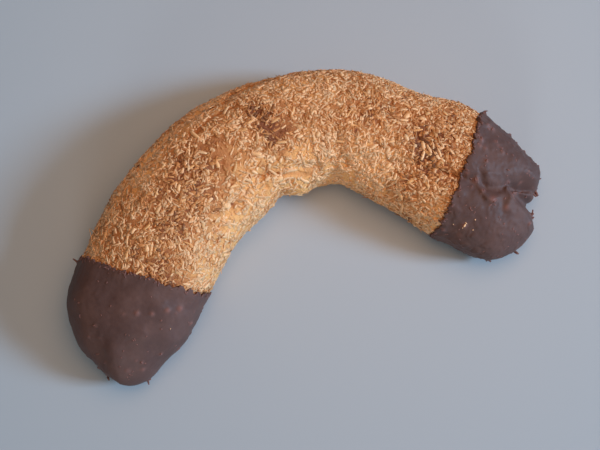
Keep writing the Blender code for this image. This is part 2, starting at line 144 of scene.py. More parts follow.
# Narrow cracks in the crust: points in plan, half width and depth, in millimetres.
CRACKS = [
    ([(-11.5, 5.8), (-10, 6.8), (-6.7, 6.1), (-3.4, 5.9), (-0.5, 5), (3.3, 4.2), (7.3, 3)], 0.45, 1.1),
    ([(-4.9, 7.5), (-2.4, 8.5), (0, 9.2)], 0.35, 0.7), ([(28.3, 3.8), (28.9, 3), (29.6, 2.1)], 0.4, 0.8),
    ([(30.9, 3.2), (31.9, 1.7), (33.4, 0.5)], 0.4, 0.9), ([(-16.2, 5), (-14.9, 7.1)], 0.35, 0.7),
    ([(-26.5, -8.5), (-24.2, -7.2), (-22.4, -6.9)], 0.35, 0.6),
    ([(-15.6, 30.8), (-11.4, 30.6), (-8.5, 31.8)], 0.5, 0.9),
    ([(43, -9.2), (45.6, -11.8), (47.6, -12.6)], 0.5, 1),
    ([(-23, 23.4), (-21.5, 24.2), (-18.6, 25.5), (-14.9, 27.4), (-11.1, 27.8), (-7.1, 28.4)], 0.5, 1.1),
]

# Browned and pale places: x, y, radius and how much more or less browned, in plan; the pale ones are partly
# painted light.
TOASTED = [
    (-19, 19, 7.5, 0.2), (-25.6, 7.7, 7, 0.26), (-21, 13.5, 4, 0.14), (-36.1, -1.5, 5.5, 0.2),
    (-40.7, 4.7, 7, 0.1), (-49.5, -3, 5.5, 0.18), (-52, -9.5, 5, 0.12), (-1.6, 19.2, 1.7, 0.62),
    (-1.9, 22.5, 4, 0.4), (0.2, 17.8, 4.8, 0.32), (-33.1, -0.6, 7, 0.14), (-1.3, 12.4, 6, 0.1),
    (-40.5, -9.5, 3.4, 0.14), (-2, 13.6, 1.2, 0.35), (-0.3, 12.7, 3, 0.2), (5.8, 21.4, 4, 0.1),
    (31, 12.5, 6.5, 0.28), (23.1, 13.1, 4, 0.14), (40.5, -3.8, 4.5, 0.2), (42.8, 1.8, 4, 0.14),
    (46, -11, 4.5, 0.28), (50.7, 0.7, 4, 0.14), (31.7, -12.5, 5, 0.14), (7.4, 3.5, 1.6, 0.3),
    (20.8, -0.3, 1.8, 0.3), (-17.6, 0.9, 0.7, 0.55), (-5.5, 8.4, 0.6, 0.4), (40.2, -0.9, 6, 0.48),
    (50.5, 6.2, 7.5, 0.28), (39.1, -9.9, 4.7, 0.22), (-39.2, -16.1, 4.7, 0.34), (-4, 27, 3.9, 0.3),
    (-30.3, 16.9, 5.9, 0.28), (-12.9, 26.4, 3.6, 0.2), (-20.8, 24.3, 3.4, 0.2), (-44, -10.4, 4, 0.24),
    (-39, 10, 4.7, 0.22), (54.9, -3.1, 2.5, 0.2), (5.6, 14.8, 3.6, 0.16), (32.7, 15, 4.7, 0.22),
    (31.1, -6.9, 3.1, 0.22), (28.3, 10.6, 3, 0.2), (-31.8, -20.2, 2.4, 0.4), (13.7, 5.9, 4.9, 0.14),
    (23.7, 9.4, 0.9, 0.5), (23.9, -3.3, 0.7, 0.5), (25.7, -5.1, 0.7, 0.5),
]
# Painted light: pale places on the far edge and on flanks that face away from the lamps brighten what the
# lamps leave dark.
PALE_AND_PAINTED_LIGHT = [
    (-10.4, 1.6, 6, 0.26), (-21.6, -6.9, 7.5, 0.3), (-32.1, -17.2, 7.5, 0.28), (-16, -1.2, 5, 0.14),
    (23.2, 2.4, 4, 0.22), (30.6, -3.2, 4, 0.2), (6.3, 9.5, 5, 0.16), (19.3, 24.4, 7, 0.12),
    (50.8, 9.7, 6, 0.12), (14.1, 4.6, 4.5, 0.14), (57, 2.4, 4, 0.1), (36.7, -20.4, 5, 0.14),
    (9.5, 27.7, 6, 0.06), (-10.4, 10, 5, 0.14), (36.8, -23.4, 4.6, 0.2), (28.6, -16.6, 4.6, 0.2),
    (47.1, -10.4, 2.2, 0.32), (6.1, 4.7, 5.5, 0.3), (24.4, 7.7, 6.5, 0.28), (-2.2, 8.8, 4.1, 0.24),
    (32.6, -0.3, 4.4, 0.22), (44, 0.6, 2.7, 0.2), (14.8, -2.5, 6.4, 0.36), (21.7, -9.4, 6.6, 0.52),
    (1.8, -1.5, 4.6, 0.4), (-37.3, 21.2, 4.3, 0.3), (-1.5, 31.4, 4.8, 0.26), (-11.4, 33.2, 2.9, 0.26),
    (-31.4, 26.3, 3.2, 0.26), (12, 29, 6, 0.1), (13, -3.5, 5, 0.3), (-43.2, 15.2, 4.5, 0.3),
    (-37, 18.6, 4.8, 0.38), (-53.8, 10.6, 2.4, 0.26), (-60.9, 2.1, 2, 0.24), (37.7, -22.8, 2.4, 0.24),
    (21.8, 30, 2, 0.2), (-50.6, 14, 3, 0.24), (-22.2, 27.7, 6, 0.28), (-11.8, 31, 4.8, 0.16),
    (19.5, -4.2, 6, 0.2),
]

# Places where the dough shows bare, with few shreds: x, y, radius, and share of shreds that is missing.
BARE = [
    (-13.7, 15.6, 3.4, 0.6), (-13.5, 8.9, 2.8, 0.75), (-15.8, 5.8, 2.4, 0.7), (4.2, 1.4, 3.4, 0.85),
    (-12.3, 25.7, 2.5, 0.4), (2.1, 8, 3, 0.65), (-5.2, 10, 2.6, 0.5), (18.2, -2.5, 2.6, 0.5),
    (-1.3, 19.5, 1.6, 0.6), (-19.5, 15.5, 2, 0.35), (-33.5, -21.5, 1.8, 0.6), (-19.6, 4.4, 4.6, 0.5),
    (-15.6, 15.6, 4.6, 0.45), (-11.6, 4.6, 4, 0.4), (-23, -3.4, 5, 0.35), (-20, -11, 5, 0.45),
    (-29, -17.4, 5, 0.4), (1, -2.6, 5, 0.5), (13, -1.5, 5, 0.4), (8, 7, 6, 0.3), (-6.3, 2.9, 4.6, 0.6),
    (-12.4, 11.7, 4.6, 0.55), (3.4, 15.9, 4.6, 0.45), (0.6, 18, 3.4, 0.45), (0.9, -1.5, 4, 0.45),
    (-15.2, -3.5, 4.6, 0.4), (59, 3, 3, 0.5), (23.3, 28.8, 3, 0.35), (-39.9, -14.8, 4, 0.35),
    (-17.9, 20, 2.6, 0.65), (-15, 12.9, 2.6, 0.5), (-24.3, 26.8, 2.2, 0.6), (-18.2, 29.2, 2.2, 0.6),
    (-12.4, 29.7, 1.8, 0.5), (-29, 24, 2, 0.5),
]

# Places where the shreds stand up more and differ more: x, y, radius and share.
ROUGH = [
    (22, -11, 7, 1), (31, -18, 7, 1), (39, -23, 7, 1), (20, -1.5, 4, 0.6), (-29, 26.5, 6, 0.8),
    (-39, 21.5, 6, 1), (-49, 14.5, 6, 0.8), (7, 32, 6, 0.4),
]

# Wide pale flakes that stand out: x, y, length, width and turn in degrees.
FLAKES = [
    (39.9, 9.4, 2.6, 1.5, 20), (43.8, 6.7, 2.2, 1.3, -40), (41.1, -1.2, 3.4, 1, 80),
    (42, -2.6, 3.6, 0.8, 100), (39.6, -3.9, 3, 0.9, 60), (43.1, -5.2, 3.2, 0.7, 112),
    (44, -4.9, 3.2, 0.6, 98), (44.8, -4.4, 3, 0.6, 84), (29.5, -2.8, 2, 1.2, 10), (30.6, -6.8, 2.2, 1, 45),
    (12.8, 11.7, 1.7, 1.4, 30), (-2, 4.2, 1.9, 1.6, 15), (-18.9, 0.7, 1.8, 1.6, 60),
    (-21.2, 16.9, 3, 0.9, -50), (-8.3, 7.5, 2.2, 0.9, -35), (4.7, 6.7, 1.8, 0.9, 5),
    (-44.5, -4.2, 2.2, 1.5, 75), (-30.4, 9.6, 2.4, 1, 65), (-27, 19.6, 2.2, 0.9, 20), (7.5, 13, 1.8, 1.2, 10),
]

# Beads and peaks of set chocolate, which the solids have too: where, in millimetres, radius and height.
LEFT_BEADS = [
    (-52.8, -20.6, 21.4, 0.75, 0.48), (-49.2, -22, 21, 0.7, 0.48), (-44.8, -22.6, 19.9, 0.8, 0.52),
    (-41.5, -22.9, 18.4, 0.95, 0.6), (-71.4, -31.2, 6, 0.8, 1.2), (-69.4, -33.6, 5, 0.8, 1.2),
    (-67.4, -34.4, 5, 0.7, 0.7), (-58.5, -39.2, 5, 0.7, 1), (-57.6, -35.5, 12, 0.8, 0.35),
    (-57, -33.6, 14, 0.7, 0.3), (-51.1, -33.6, 13, 0.6, 0.45), (-47.1, -32.6, 8, 0.8, 0.6),
    (-41.4, -26.2, 12, 0.7, 0.5), (-67.8, 1.8, 9, 0.9, 0.8), (-65.9, -19.7, 18.6, 0.6, 0.25),
    (-61.5, -33.6, 12, 1, 0.25),
]
RIGHT_BEADS = [
    (71.9, -24.2, 8, 0.9, 1.4), (68.8, -29.2, 7, 0.9, 1.1), (67.5, -33.1, 6, 0.8, 0.8),
    (60.5, -38.8, 4, 0.7, 1.8), (57.3, -38.8, 4, 0.8, 0.7), (51.2, -38.6, 3, 0.9, 0.7),
    (75.8, -16.6, 8, 0.9, 1), (75.3, -18.8, 8, 0.8, 0.7), (74.7, -12.8, 8, 0.8, 0.6),
    (73.3, -10.2, 9, 0.8, 0.7), (71.6, -7, 10, 0.8, 0.5), (70.7, -4, 10, 0.9, 0.9), (65.2, 5.6, 12, 0.8, 1),
    (50.4, -12.6, 21, 0.9, 0.4), (52, -15.8, 20.2, 1, 0.5), (52.9, -19.1, 20.1, 0.9, 0.4),
    (54.8, -22.6, 20.1, 1.2, 0.5), (61.6, -23.2, 16.6, 1.4, 0.6), (58.1, -25.9, 18.5, 1, 0.4),
    (66.3, -29.7, 12.1, 0.8, 0.5), (64.8, -32.2, 13, 0.8, 0.4), (44.9, -27, 17.6, 0.9, 0.5),
    (56.9, -11.4, 21.3, 0.7, 0.4), (58, -7.7, 20.9, 0.8, 0.3), (63, -10, 19.4, 0.7, 0.3),
    (61.6, -18.9, 17.1, 0.8, 0.4), (63.9, -22.1, 13.9, 0.8, 0.4), (66.2, -20.1, 14.6, 0.7, 0.4),
    (62.3, -6.5, 19.2, 0.7, 0.3), (61.9, -1.2, 18, 0.9, 0.4), (63.3, -2.1, 17.2, 1, 0.35),
    (57.9, -4.9, 20.6, 0.9, 0.4), (57.3, -3.4, 20.4, 0.8, 0.4), (56.4, -6.2, 20.9, 0.8, 0.35),
]

# Folds of thick chocolate: points in plan, half width and height; and hollows: x, y, radius and depth.
LEFT_RIDGES = [
    ([(-50.4, -27.4), (-52.6, -31), (-53.6, -36)], 2.2, -0.3),
    ([(-46.6, -26), (-47.2, -31), (-49.6, -35.6)], 2, 0.3), ([(-57, -22), (-61, -27), (-64, -33)], 2.6, 0.25),
    ([(-66, -9), (-69, -16), (-71, -24)], 2.2, 0.3),
]
RIGHT_RIDGES = [
    ([(52.8, -14.6), (52.5, -17.4), (52.7, -19.8), (53.4, -21.8), (54.4, -22.9), (56.3, -22.6)], 0.75, 0.75),
    ([(56.4, -12), (55.6, -15), (56, -17), (58.4, -18.5), (61.8, -18.8)], 1, 0.45),
    ([(54.2, -13.6), (54, -16.5), (54.4, -19), (57.2, -20.6), (60.8, -20.9)], 0.7, -0.4),
    ([(62.4, -21.9), (60.5, -23.6), (59.2, -25.6), (58.8, -27.9)], 1.1, 0.6),
    ([(58, -22.6), (57.2, -25), (56.8, -28)], 0.9, -0.3),
    ([(63.4, -12.4), (67.6, -13.6), (70.6, -16.6)], 2.2, 0.35),
    ([(66, -31.5), (64, -34.5), (60.6, -36.2)], 1.6, 0.25),
    ([(59.8, 2.6), (61.4, -0.4), (63.6, -1.8)], 0.8, 0.4),
]
LEFT_HOLLOWS = [(-44.6, -17.8, 1.8, 0.3)]
RIGHT_HOLLOWS = [(63.8, -20.5, 1.6, 1.7), (65.6, -22.2, 1.2, 0.6), (49, -13.4, 0.8, 0.7)]

# Each dip: its piece, its solid, its relief, how many nubs lie loose on it, and how lumpy it is.
COATS = (
    ("left_dip", "chocolate_left", LEFT_BEADS, LEFT_RIDGES, LEFT_HOLLOWS, 20, 0.15),
    ("right_dip", "chocolate_right", RIGHT_BEADS, RIGHT_RIDGES, RIGHT_HOLLOWS, 44, 1.0),
)

# Small nubs of coated coconut on the dips, in millimetres: where, length, width and turn in degrees.
LEFT_NUBS = [
    (-68.2, -27.2, 14, 2.2, 0.35, 6), (-69.2, -10.4, 17.5, 0.6, 0.35, 40), (-68.5, -12, 18.1, 0.8, 0.4, 10),
    (-62.9, -17.8, 20.3, 0.6, 0.35, 90), (-65.9, -19.7, 18.6, 0.9, 0.4, 0), (-58, -25.2, 19.4, 0.6, 0.35, 30),
    (-56.6, -27.4, 18.6, 0.7, 0.35, 120), (-52.7, -27.3, 18.8, 0.6, 0.35, 20),
    (-45.9, -27.5, 17.3, 0.7, 0.35, 60), (-40.7, -27, 13.7, 0.7, 0.4, 80),
    (-51.1, -33.4, 13.1, 0.9, 0.45, 80), (-57, -33.8, 14, 0.9, 0.5, 100), (-56.2, -34.3, 13.6, 0.7, 0.4, 30),
    (-63.2, -32.7, 14.3, 0.7, 0.4, 0), (-60.5, -29.2, 17, 0.7, 0.35, 60), (-60.7, -34.4, 12, 1, 0.4, 20),
    (-59.2, -16.3, 21, 0.6, 0.35, 45), (-58.4, -9.5, 21.6, 0.7, 0.35, 20), (-61, -8.1, 21.2, 0.7, 0.35, 110),
]
RIGHT_NUBS = [
    (47.6, -22.8, 20, 0.8, 0.45, 60), (46.7, -21.6, 20.7, 0.7, 0.4, 20), (48.3, -26.2, 18.7, 0.7, 0.45, 80),
    (46.9, -28.8, 17.2, 0.6, 0.4, 30), (42, -25.8, 17.4, 0.6, 0.4, 0), (39.4, -27.4, 13.4, 0.6, 0.4, 50),
    (52.2, -15.4, 20.4, 1.2, 0.55, 100), (52.6, -19.4, 20.2, 1, 0.5, 60), (54.8, -22.8, 20.1, 1.6, 0.6, 15),
    (53.6, -23.6, 19.9, 1.2, 0.5, 25), (56.7, -11.5, 21.4, 0.9, 0.45, 70), (55.9, -12.6, 21.2, 0.7, 0.4, 30),
    (62.6, -9.7, 19.6, 0.8, 0.4, 10), (64, -10.9, 18.8, 0.7, 0.4, 120), (62.2, -19.2, 16.9, 0.8, 0.45, 80),
    (60.8, -19.2, 17.4, 0.7, 0.4, 20), (63.4, -22, 14.4, 0.8, 0.45, 45), (61.6, -22.4, 16.8, 1, 0.5, 30),
    (61.6, -1.6, 17.8, 1, 0.5, 120), (63, -2.2, 17.4, 1.1, 0.5, 20), (62.4, -6.6, 19.2, 1.2, 0.45, 60),
    (58, -4.6, 20.6, 1.1, 0.5, 100), (57.1, -3.6, 20.4, 1, 0.5, 30), (56.6, -6, 20.8, 0.9, 0.45, 0),
    (68.8, -29.2, 8, 1.2, 0.6, 30), (68.4, -30.4, 8, 1, 0.5, 90), (71.9, -23.8, 9, 1.2, 0.6, 60),
    (56.2, -30.3, 17.4, 0.7, 0.4, 20), (59.6, -33.8, 15.4, 0.8, 0.4, 70),
]

# Peaks of set chocolate that stick out at the sides, in the same way.
LEFT_HOOKS = [(-69.4, -33.6, 5, 2.4, 0.8, 40), (-58.4, -39.4, 5, 2.6, 0.7, 100), (-67.9, 2, 9, 2.2, 0.8, 60)]
RIGHT_HOOKS = [
    (72.1, -23.9, 7, 3.2, 0.9, 60), (71.2, -24.2, 8, 2.2, 0.8, 20), (68.8, -29.4, 7, 2.6, 0.8, 120),
    (68, -30.6, 9, 2, 0.7, 30), (68, -33.1, 6, 2, 0.7, 80), (60.1, -39.3, 4, 3.4, 0.8, 110),
    (51.9, -38.9, 3, 1.8, 0.6, 60), (75, -20.3, 8, 1.6, 0.6, 90), (65.3, 5.8, 12, 1.6, 0.6, 30),
]

# Bright coconut that lies bare on the chocolate, in the same way.
SPECKS = [
    (44.9, -27, 17.8, 0.9, 0.5, 25), (45.4, -26.4, 17.9, 0.6, 0.35, 100), (44.2, -27.6, 17.4, 0.4, 0.3, 60),
    (48.3, -26.3, 18.9, 0.4, 0.3, 80), (46.9, -28.9, 17.4, 0.4, 0.25, 10),
    (41.9, -25.8, 17.6, 0.35, 0.25, 30), (-51.1, -33.5, 13.4, 0.4, 0.2, 80),
    (-45.9, -27.5, 17.5, 0.35, 0.2, 60),
]

# Lights: name, place to the right, away and up from the cookie, size, the setting of its power, and tint.
LIGHTS = (
    ("main_light", 1.972, -0.14, 0.964, 0.484, "main_power", (0.4455, 0.675, 0.92)),
    ("near_light", -0.1, -1.9, 0.55, 0.5, "near_power", (0.90, 0.90, 0.90)),
    ("fill_light", 0.06, 0.05, 0.28, 0.25, "fill_power", (1.0, 0.558, 0.299)),
)

# The sky is as bright below this height as at it, and the camera looks at this place.
LOWEST_SKY = 0.45
LOOKED_AT = (-0.594 * MM, -6.687 * MM, 0.0)


def number(name, description, default, **more):
    """A number that a user can change."""
    return bpy.props.FloatProperty(name=name, description=description, default=default, **more)


def whole(name, description, default):
    return bpy.props.IntProperty(name=name, description=description, default=default, min=0)


def distance(name, description, default):
    return number(name, description, default, min=0.0, precision=5, subtype="DISTANCE", unit="LENGTH")


def share(name, description, default):
    return number(name, description, default, min=0.0, max=1.0, subtype="FACTOR")


def power(name, description, default):
    return number(name, description, default, min=0.0, subtype="POWER")


def angle_of(name, description, degrees):
    return number(name, description, math.radians(degrees), subtype="ANGLE")


def colour(name, description, *default):
    return bpy.props.FloatVectorProperty(
        name=name, description=description, default=(*default, 1.0), min=0.0, max=1.0, size=4, subtype="COLOR"
    )


class CrustSettings(bpy.types.PropertyGroup):
    """Colours of the baked dough."""

    golden: colour("Golden", "Dough that is hardly browned", 0.89, 0.465, 0.178)
    browned: colour("Browned", "Dough that is well browned", 0.49, 0.190, 0.066)
    dark: colour("Dark", "Dough at the darkest spots", 0.21, 0.066, 0.029)
    roughness: share("Roughness", "Roughness of the dough", 0.72)


class ShredSettings(bpy.types.PropertyGroup):
    """Sizes and colours of the coconut shreds."""

    count: whole("Count", "Small shreds of all kinds", 9800)
    crumbs: whole("Crumbs", "Flat chips and crumbs", 6600)
    thickness: distance("Thickness", "Thickness of a small shred", 0.00014)
    lift: distance("Lift", "How far the topmost shreds stand off the dough", 0.00018)
    white: colour("White", "Shreds that are hardly browned", 0.90, 0.556, 0.303)
    straw: colour("Straw", "Shreds that are lightly browned", 0.835, 0.447, 0.185)
    toasted: colour("Toasted", "Shreds that are well browned", 0.60, 0.248, 0.087)
    scorched: colour("Scorched", "Shreds at the darkest spots", 0.218, 0.085, 0.038)
    roughness: share("Roughness", "Roughness of the shreds", 0.6)


class ChocolateSettings(bpy.types.PropertyGroup):
    """Sizes and colours of the two dips."""

    ripple: distance("Ripple", "How high the chocolate's broad ripples stand", 0.0003)
    knobs: distance("Knobs", "How high the small lumps of the lumpier dip stand", 0.00024)
    body: colour("Body", "The chocolate itself", 0.098, 0.052, 0.0455)
    bloom: colour("Bloom", "The paler, duller patches", 0.139, 0.074, 0.0625)
    # Partly painted highlight: the nubs' paler, redder colour is coconut under a thin coat and the highlight
    # on their lit tops.
    nubs: colour("Nubs", "Coconut that shows through a thin coat", 0.26, 0.115, 0.095)
    roughness: share("Roughness", "Roughness of the set chocolate", 0.60)


class StageSettings(bpy.types.PropertyGroup):
    """Floor, lights and camera."""

    floor: colour("Floor", "The floor", 0.4545, 0.50, 0.5435)
    main_power: power("Main light", "Power of the cool window light", 55.2)
    near_power: power("Near light", "Power of the low light on the near side", 8.6)
    fill_power: power("Fill light", "Power of the broad warm light", 0.45)
    sky: number("Sky", "Strength of the light from right above, which fades towards the floor", 0.28, min=0.0)
    camera_distance: distance("Camera distance", "From the camera to the point that it looks at", 0.2625)
    elevation: angle_of("Elevation", "Camera above the floor", 80)
    turn: angle_of("Turn", "Turn of the cookie in the picture", 19)


def smooth(low, high, value):
    """0 below low, 1 above high, and a smooth rise between."""
    part = np.clip((value - low) / (high - low), 0.0, 1.0)
    return part * part * (3 - 2 * part)


def noise_at(points, size):
    """Smooth noise at points of any array shape, for lumps of the given size."""
    flat = (np.reshape(points, (-1, 3)) / size).tolist()
    return np.array([noise.noise(point) for point in flat]).reshape(np.shape(points)[:-1])


TABLE = np.array(STATIONS) * MM
TABLE = np.vstack([2 * TABLE[0] - TABLE[1], TABLE, 2 * TABLE[-1] - TABLE[-2]])


def station(s):
    """The middle of the roll, half width and height at distances s from the left tip."""
    place = np.clip(np.asarray(s, float) / STATION_STEP, 0.0, len(STATIONS) - 1.0)
    i = np.minimum(place.astype(int), len(STATIONS) - 2)
    t = (place - i)[..., None]
    a, b, c, d = (TABLE[i + j] for j in range(4))
    row = 0.5 * (2 * b + (c - a) * t + (2 * a - 5 * b + 4 * c - d) * t**2 + (3 * b - a - 3 * c + d) * t**3)
    middle = np.concatenate([row[..., :2], np.zeros_like(row[..., :1])], axis=-1)
    return middle, row[..., 2], row[..., 3]


def unit(vectors):
    return vectors / np.maximum(np.linalg.norm(vectors, axis=-1, keepdims=True), 1e-12)


def heading(s):
    reach = 0.5 * MM
    return unit(station(s + reach)[0] - station(s - reach)[0])


def by_end(s, left, right):
    return np.where(s > ROLL_LENGTH / 2, right, left)


def from_tip(s):
    return by_end(s, s, ROLL_LENGTH - s)


def from_end(side, length):
    """A length from one tip as a place on the roll, or a place on the roll as a length from that tip."""
    return ROLL_LENGTH - length if side == RIGHT else length


def nose(s, inset):
    """How much of the section's width, dome and belly is left at s, for a surface that lies inset deep."""
    length, side_power, end_power = (by_end(s, *pair) for pair in zip(*NOSES))
    depth = np.clip((length - from_tip(s)) / (length - inset), 0.0, 1.0)
    side = (1 - depth**end_power) ** (1 / side_power)
    dome, belly = ((1 - depth**first) ** (1 / second) for first, second in (DOME_POWERS, BELLY_POWERS))
    return side, dome, belly


def bowed(value, squareness):
    """A sine or cosine, made squarer for a superellipse."""
    return np.copysign(np.abs(value) ** (2 / squareness), value)


def dip_depth(points, side):
    """How far points lie past a dip line towards the tip."""
    *spot, turn, lean = DIPS[side]
    way = np.array([math.cos(math.radians(turn)), math.sin(math.radians(turn)), -lean])
    return (points - np.array(spot) * MM) @ way


def past_dips(points):
    return np.maximum(dip_depth(points, LEFT), dip_depth(points, RIGHT))


def route_misses(points, route):
    """How far points in plan lie from a route, and how far along it, as a share, in millimetres."""
    corners = np.array(route, float)
    steps = np.diff(corners, axis=0)
    lengths = np.linalg.norm(steps, axis=1)
    away = points[..., None, :2] / MM - corners[:-1]
    shares = np.clip((away * steps).sum(axis=-1) / lengths**2, 0, 1)
    misses = np.linalg.norm(away - steps * shares[..., None], axis=-1)
    nearest = misses.argmin(axis=-1)
    picked = np.take_along_axis(shares, nearest[..., None], axis=-1)[..., 0]
    before = np.concatenate([[0.0], np.cumsum(lengths)])[nearest]
    return misses.min(axis=-1), (before + lengths[nearest] * picked) / lengths.sum()


def round_away(points, x, y, radius):
    """How far points lie in plan from a round spot's middle, in its radii, squared."""
    return ((points[..., 0] / MM - x) ** 2 + (points[..., 1] / MM - y) ** 2) / radius**2


def spots_at(points, spots):
    """The sum of round spots in plan, each with a middle, radius and height."""
    return sum(height * np.exp(-round_away(points, x, y, radius)) for x, y, radius, height in spots)


def routes_at(points, routes, fade, least):
    """The sum of ridges or cracks along routes, which fade to a least share at the ends of each route."""
    total = 0.0
    for route, half_width, height in routes:
        miss, along = route_misses(points, route)
        ends = smooth(0.0, fade, along) * (1 - smooth(1 - fade, 1.0, along))
        total = total + height * MM * np.exp(-((miss / half_width) ** 2)) * (least + (1 - least) * ends)
    return total


def valley_depth(points):
    total = 0.0
    for route, half_width, first, last in VALLEYS:
        miss, along = route_misses(points, route)
        total = total + (first + (last - first) * along) * MM * np.exp(-((miss / half_width) ** 2))
    return total


def crack_depth(points):
    """Depth of the narrow cracks, which wander a little off their routes."""
    wander = np.stack([noise_at(points, 2.0 * MM), noise_at(points + 0.05, 2.0 * MM)], axis=-1) * 0.5 * MM
    moved = points.copy()
    moved[..., :2] += wander
    return routes_at(moved, CRACKS, 0.15, 0.35)


def lumps_at(points, lumps):
    return sum(height * noise_at(points, size) for size, height in lumps)


def pulled_back(s, across):
    """How far an end is pulled back along the roll, at a distance across from its middle line."""
    shorter, starts, full, fades, ends = (by_end(s, *pair) for pair in zip(*SHORTER))
    amount = shorter * smooth(starts, full, across) * (1 - smooth(fades, ends, across))
    amount = amount + by_end(s, 0.0, BITE_DEPTH * np.exp(-(((across - BITE_PLACE) / BITE_HALF_WIDTH) ** 2)))
    return amount * (1 - smooth(4 * MM, SHORTER_REACH, from_tip(s))) * by_end(s, 1.0, -1.0)


def plain_point(s, angle, inset, underside):
    """A point of the smooth roll that lies inset below the finished outside: across it, up, and its rise."""
    _, width, height = station(s)
    side, dome, belly = nose(s, inset)
    widest = WIDEST_SHARE * height
    squareness = np.where(np.sin(angle) > 0, DOME_SQUARENESS, BELLY_SQUARENESS)
    across = (width - inset) * side * bowed(np.cos(angle), squareness)
    rise = bowed(np.sin(angle), squareness)
    above = widest + (height - inset - widest) * dome * rise
    below = widest + (widest - underside + BASE_SUNK) * belly * rise
    return across, np.maximum(np.where(rise > 0, above, below), underside), rise


def outside_place(s, inset):
    """The place on the finished outside that matches a place on a surface inset below it."""
    length = by_end(s, NOSES[LEFT][0], NOSES[RIGHT][0])
    tip = from_tip(s)
    tip = np.where(tip < length, (tip - inset) * length / (length - inset), tip)
    return by_end(s, tip, ROLL_LENGTH - tip)


def outward_of(s, angle):
    """The way out of the roll at an angle round it, and the way across it."""
    along = heading(s)
    outer = np.stack([-along[..., 1], along[..., 0], np.zeros_like(along[..., 0])], axis=-1)
    return outer * np.cos(angle)[..., None] + np.array([0.0, 0.0, 1.0]) * np.sin(angle)[..., None], outer


def skin_point(s, angle, inset, underside):
    """Points of the uneven roll, whose relief is the finished outside's."""
    s, angle, inset, underside = np.broadcast_arrays(s, angle, inset, underside)
    across, up, _ = plain_point(s, angle, inset, underside)
    outward, outer = outward_of(s, angle)
    place = outside_place(s, inset)
    outside_across, outside_up, rise = plain_point(place, angle, 0.0, 0.0)
    outside = station(place)[0] + outer * outside_across[..., None]
    outside[..., 2] += outside_up
    relief = lumps_at(outside, LUMPS) - valley_depth(outside) * smooth(-0.1, 0.35, rise)
    points = station(s)[0] + heading(s) * pulled_back(place, outside_across)[..., None]
    points = points + outer * across[..., None]
    points[..., 2] += up
    points = points + outward * (relief * smooth(0, 5 * MM, outside_up))[..., None]
    moved = points.copy()
    for x, y, reach, right, away in OUTLINE_SHIFTS:
        amount = np.exp(-round_away(points, x, y, reach))
        moved[..., 0] += right * MM * amount
        moved[..., 1] += away * MM * amount
    return moved


def dough_point(s, angle):
    """Points of the dough, which steps in under the chocolate."""
    rough = skin_point(s, angle, SHRED_LAYER, 0.0)
    past = past_dips(rough)
    inset = SHRED_LAYER + (COAT + GAP - SHRED_LAYER) * smooth(-1 * MM, COAT_FADE, past)
    return skin_point(s, angle, inset, (COAT + GAP) * smooth(-COAT_FADE, 2 * MM, past))


def crust_point(s, angle):
    """Points of the baked crust: the dough with its grain and cracks."""
    points = dough_point(s, angle)
    outward, _ = outward_of(s, angle)
    pocks = 0.5 * MM * smooth(0.38, 0.62, noise_at(points + 0.3, 1.9 * MM))
    relief = lumps_at(points, GRAIN) - pocks - crack_depth(points)
    return points + outward * (relief * smooth(0, 3 * MM, points[..., 2]))[..., None]


def ring_angles(count):
    return 2 * math.pi * np.arange(count) / count


def dip_place(side, angle, rag=0.0):
    """The distance along the roll where its surface crosses the wavy dip line, at angles round it."""
    s = np.full(np.shape(angle), from_end(side, NOSES[side][0]))
    line = (LEFT_LINE, RIGHT_LINE)[side]
    wave = MM * np.interp(angle, ring_angles(len(line)), line, period=2 * math.pi)
    way = 1 if side == RIGHT else -1
    for _ in range(12):
        s = s - way * 0.8 * (dip_depth(skin_point(s, angle, 0.0, 0.0), side) - wave)
    if rag:
        lip = skin_point(s, angle, 0.0, 0.0)
        s = s + rag * (0.7 * noise_at(lip, 1.6 * MM) + noise_at(lip + 0.1, 0.7 * MM))
    return s


def lip_at(side, angle):
    """The distance along the roll of the ragged lip, at any angles round it."""
    ring = ring_angles(720)
    return np.interp(angle, ring, dip_place(side, ring, LIP_RAG), period=2 * math.pi)


def toast_and_light_at(points):
    """How browned the surface is at points, from 0, pale, to 1, dark, with painted light from the pale
    places.
    """
    total = 0.40 + 0.16 * noise_at(points, 9 * MM) + 0.14 * noise_at(points + 0.2, 3.4 * MM)
    total = total + 0.10 * noise_at(points + 0.4, 1.2 * MM)
    total = total + spots_at(points, TOASTED) - spots_at(points, PALE_AND_PAINTED_LIGHT)
    return np.clip(total + 0.25 * (1 - smooth(0, 4 * MM, points[..., 2])), 0.0, 1.0)


def bareness(points):
    """The share of shreds that is missing at points."""
    left = 1.0
    for x, y, radius, missing in BARE:
        left = left * (1 - missing * np.exp(-(round_away(points, x, y, radius) ** 1.5)))
    for route, half_width, _ in CRACKS:
        miss, _ = route_misses(points, route)
        left = left * (1 - 0.85 * np.exp(-((miss / (1.6 * half_width)) ** 2)))
    return 1 - left * (1 - 0.5 * smooth(0.0, 0.5, noise_at(points + 0.7, 3.4 * MM)))


def linked(name, data):
    made = bpy.data.objects.new(name, data)
    bpy.context.scene.collection.objects.link(made)
    return made


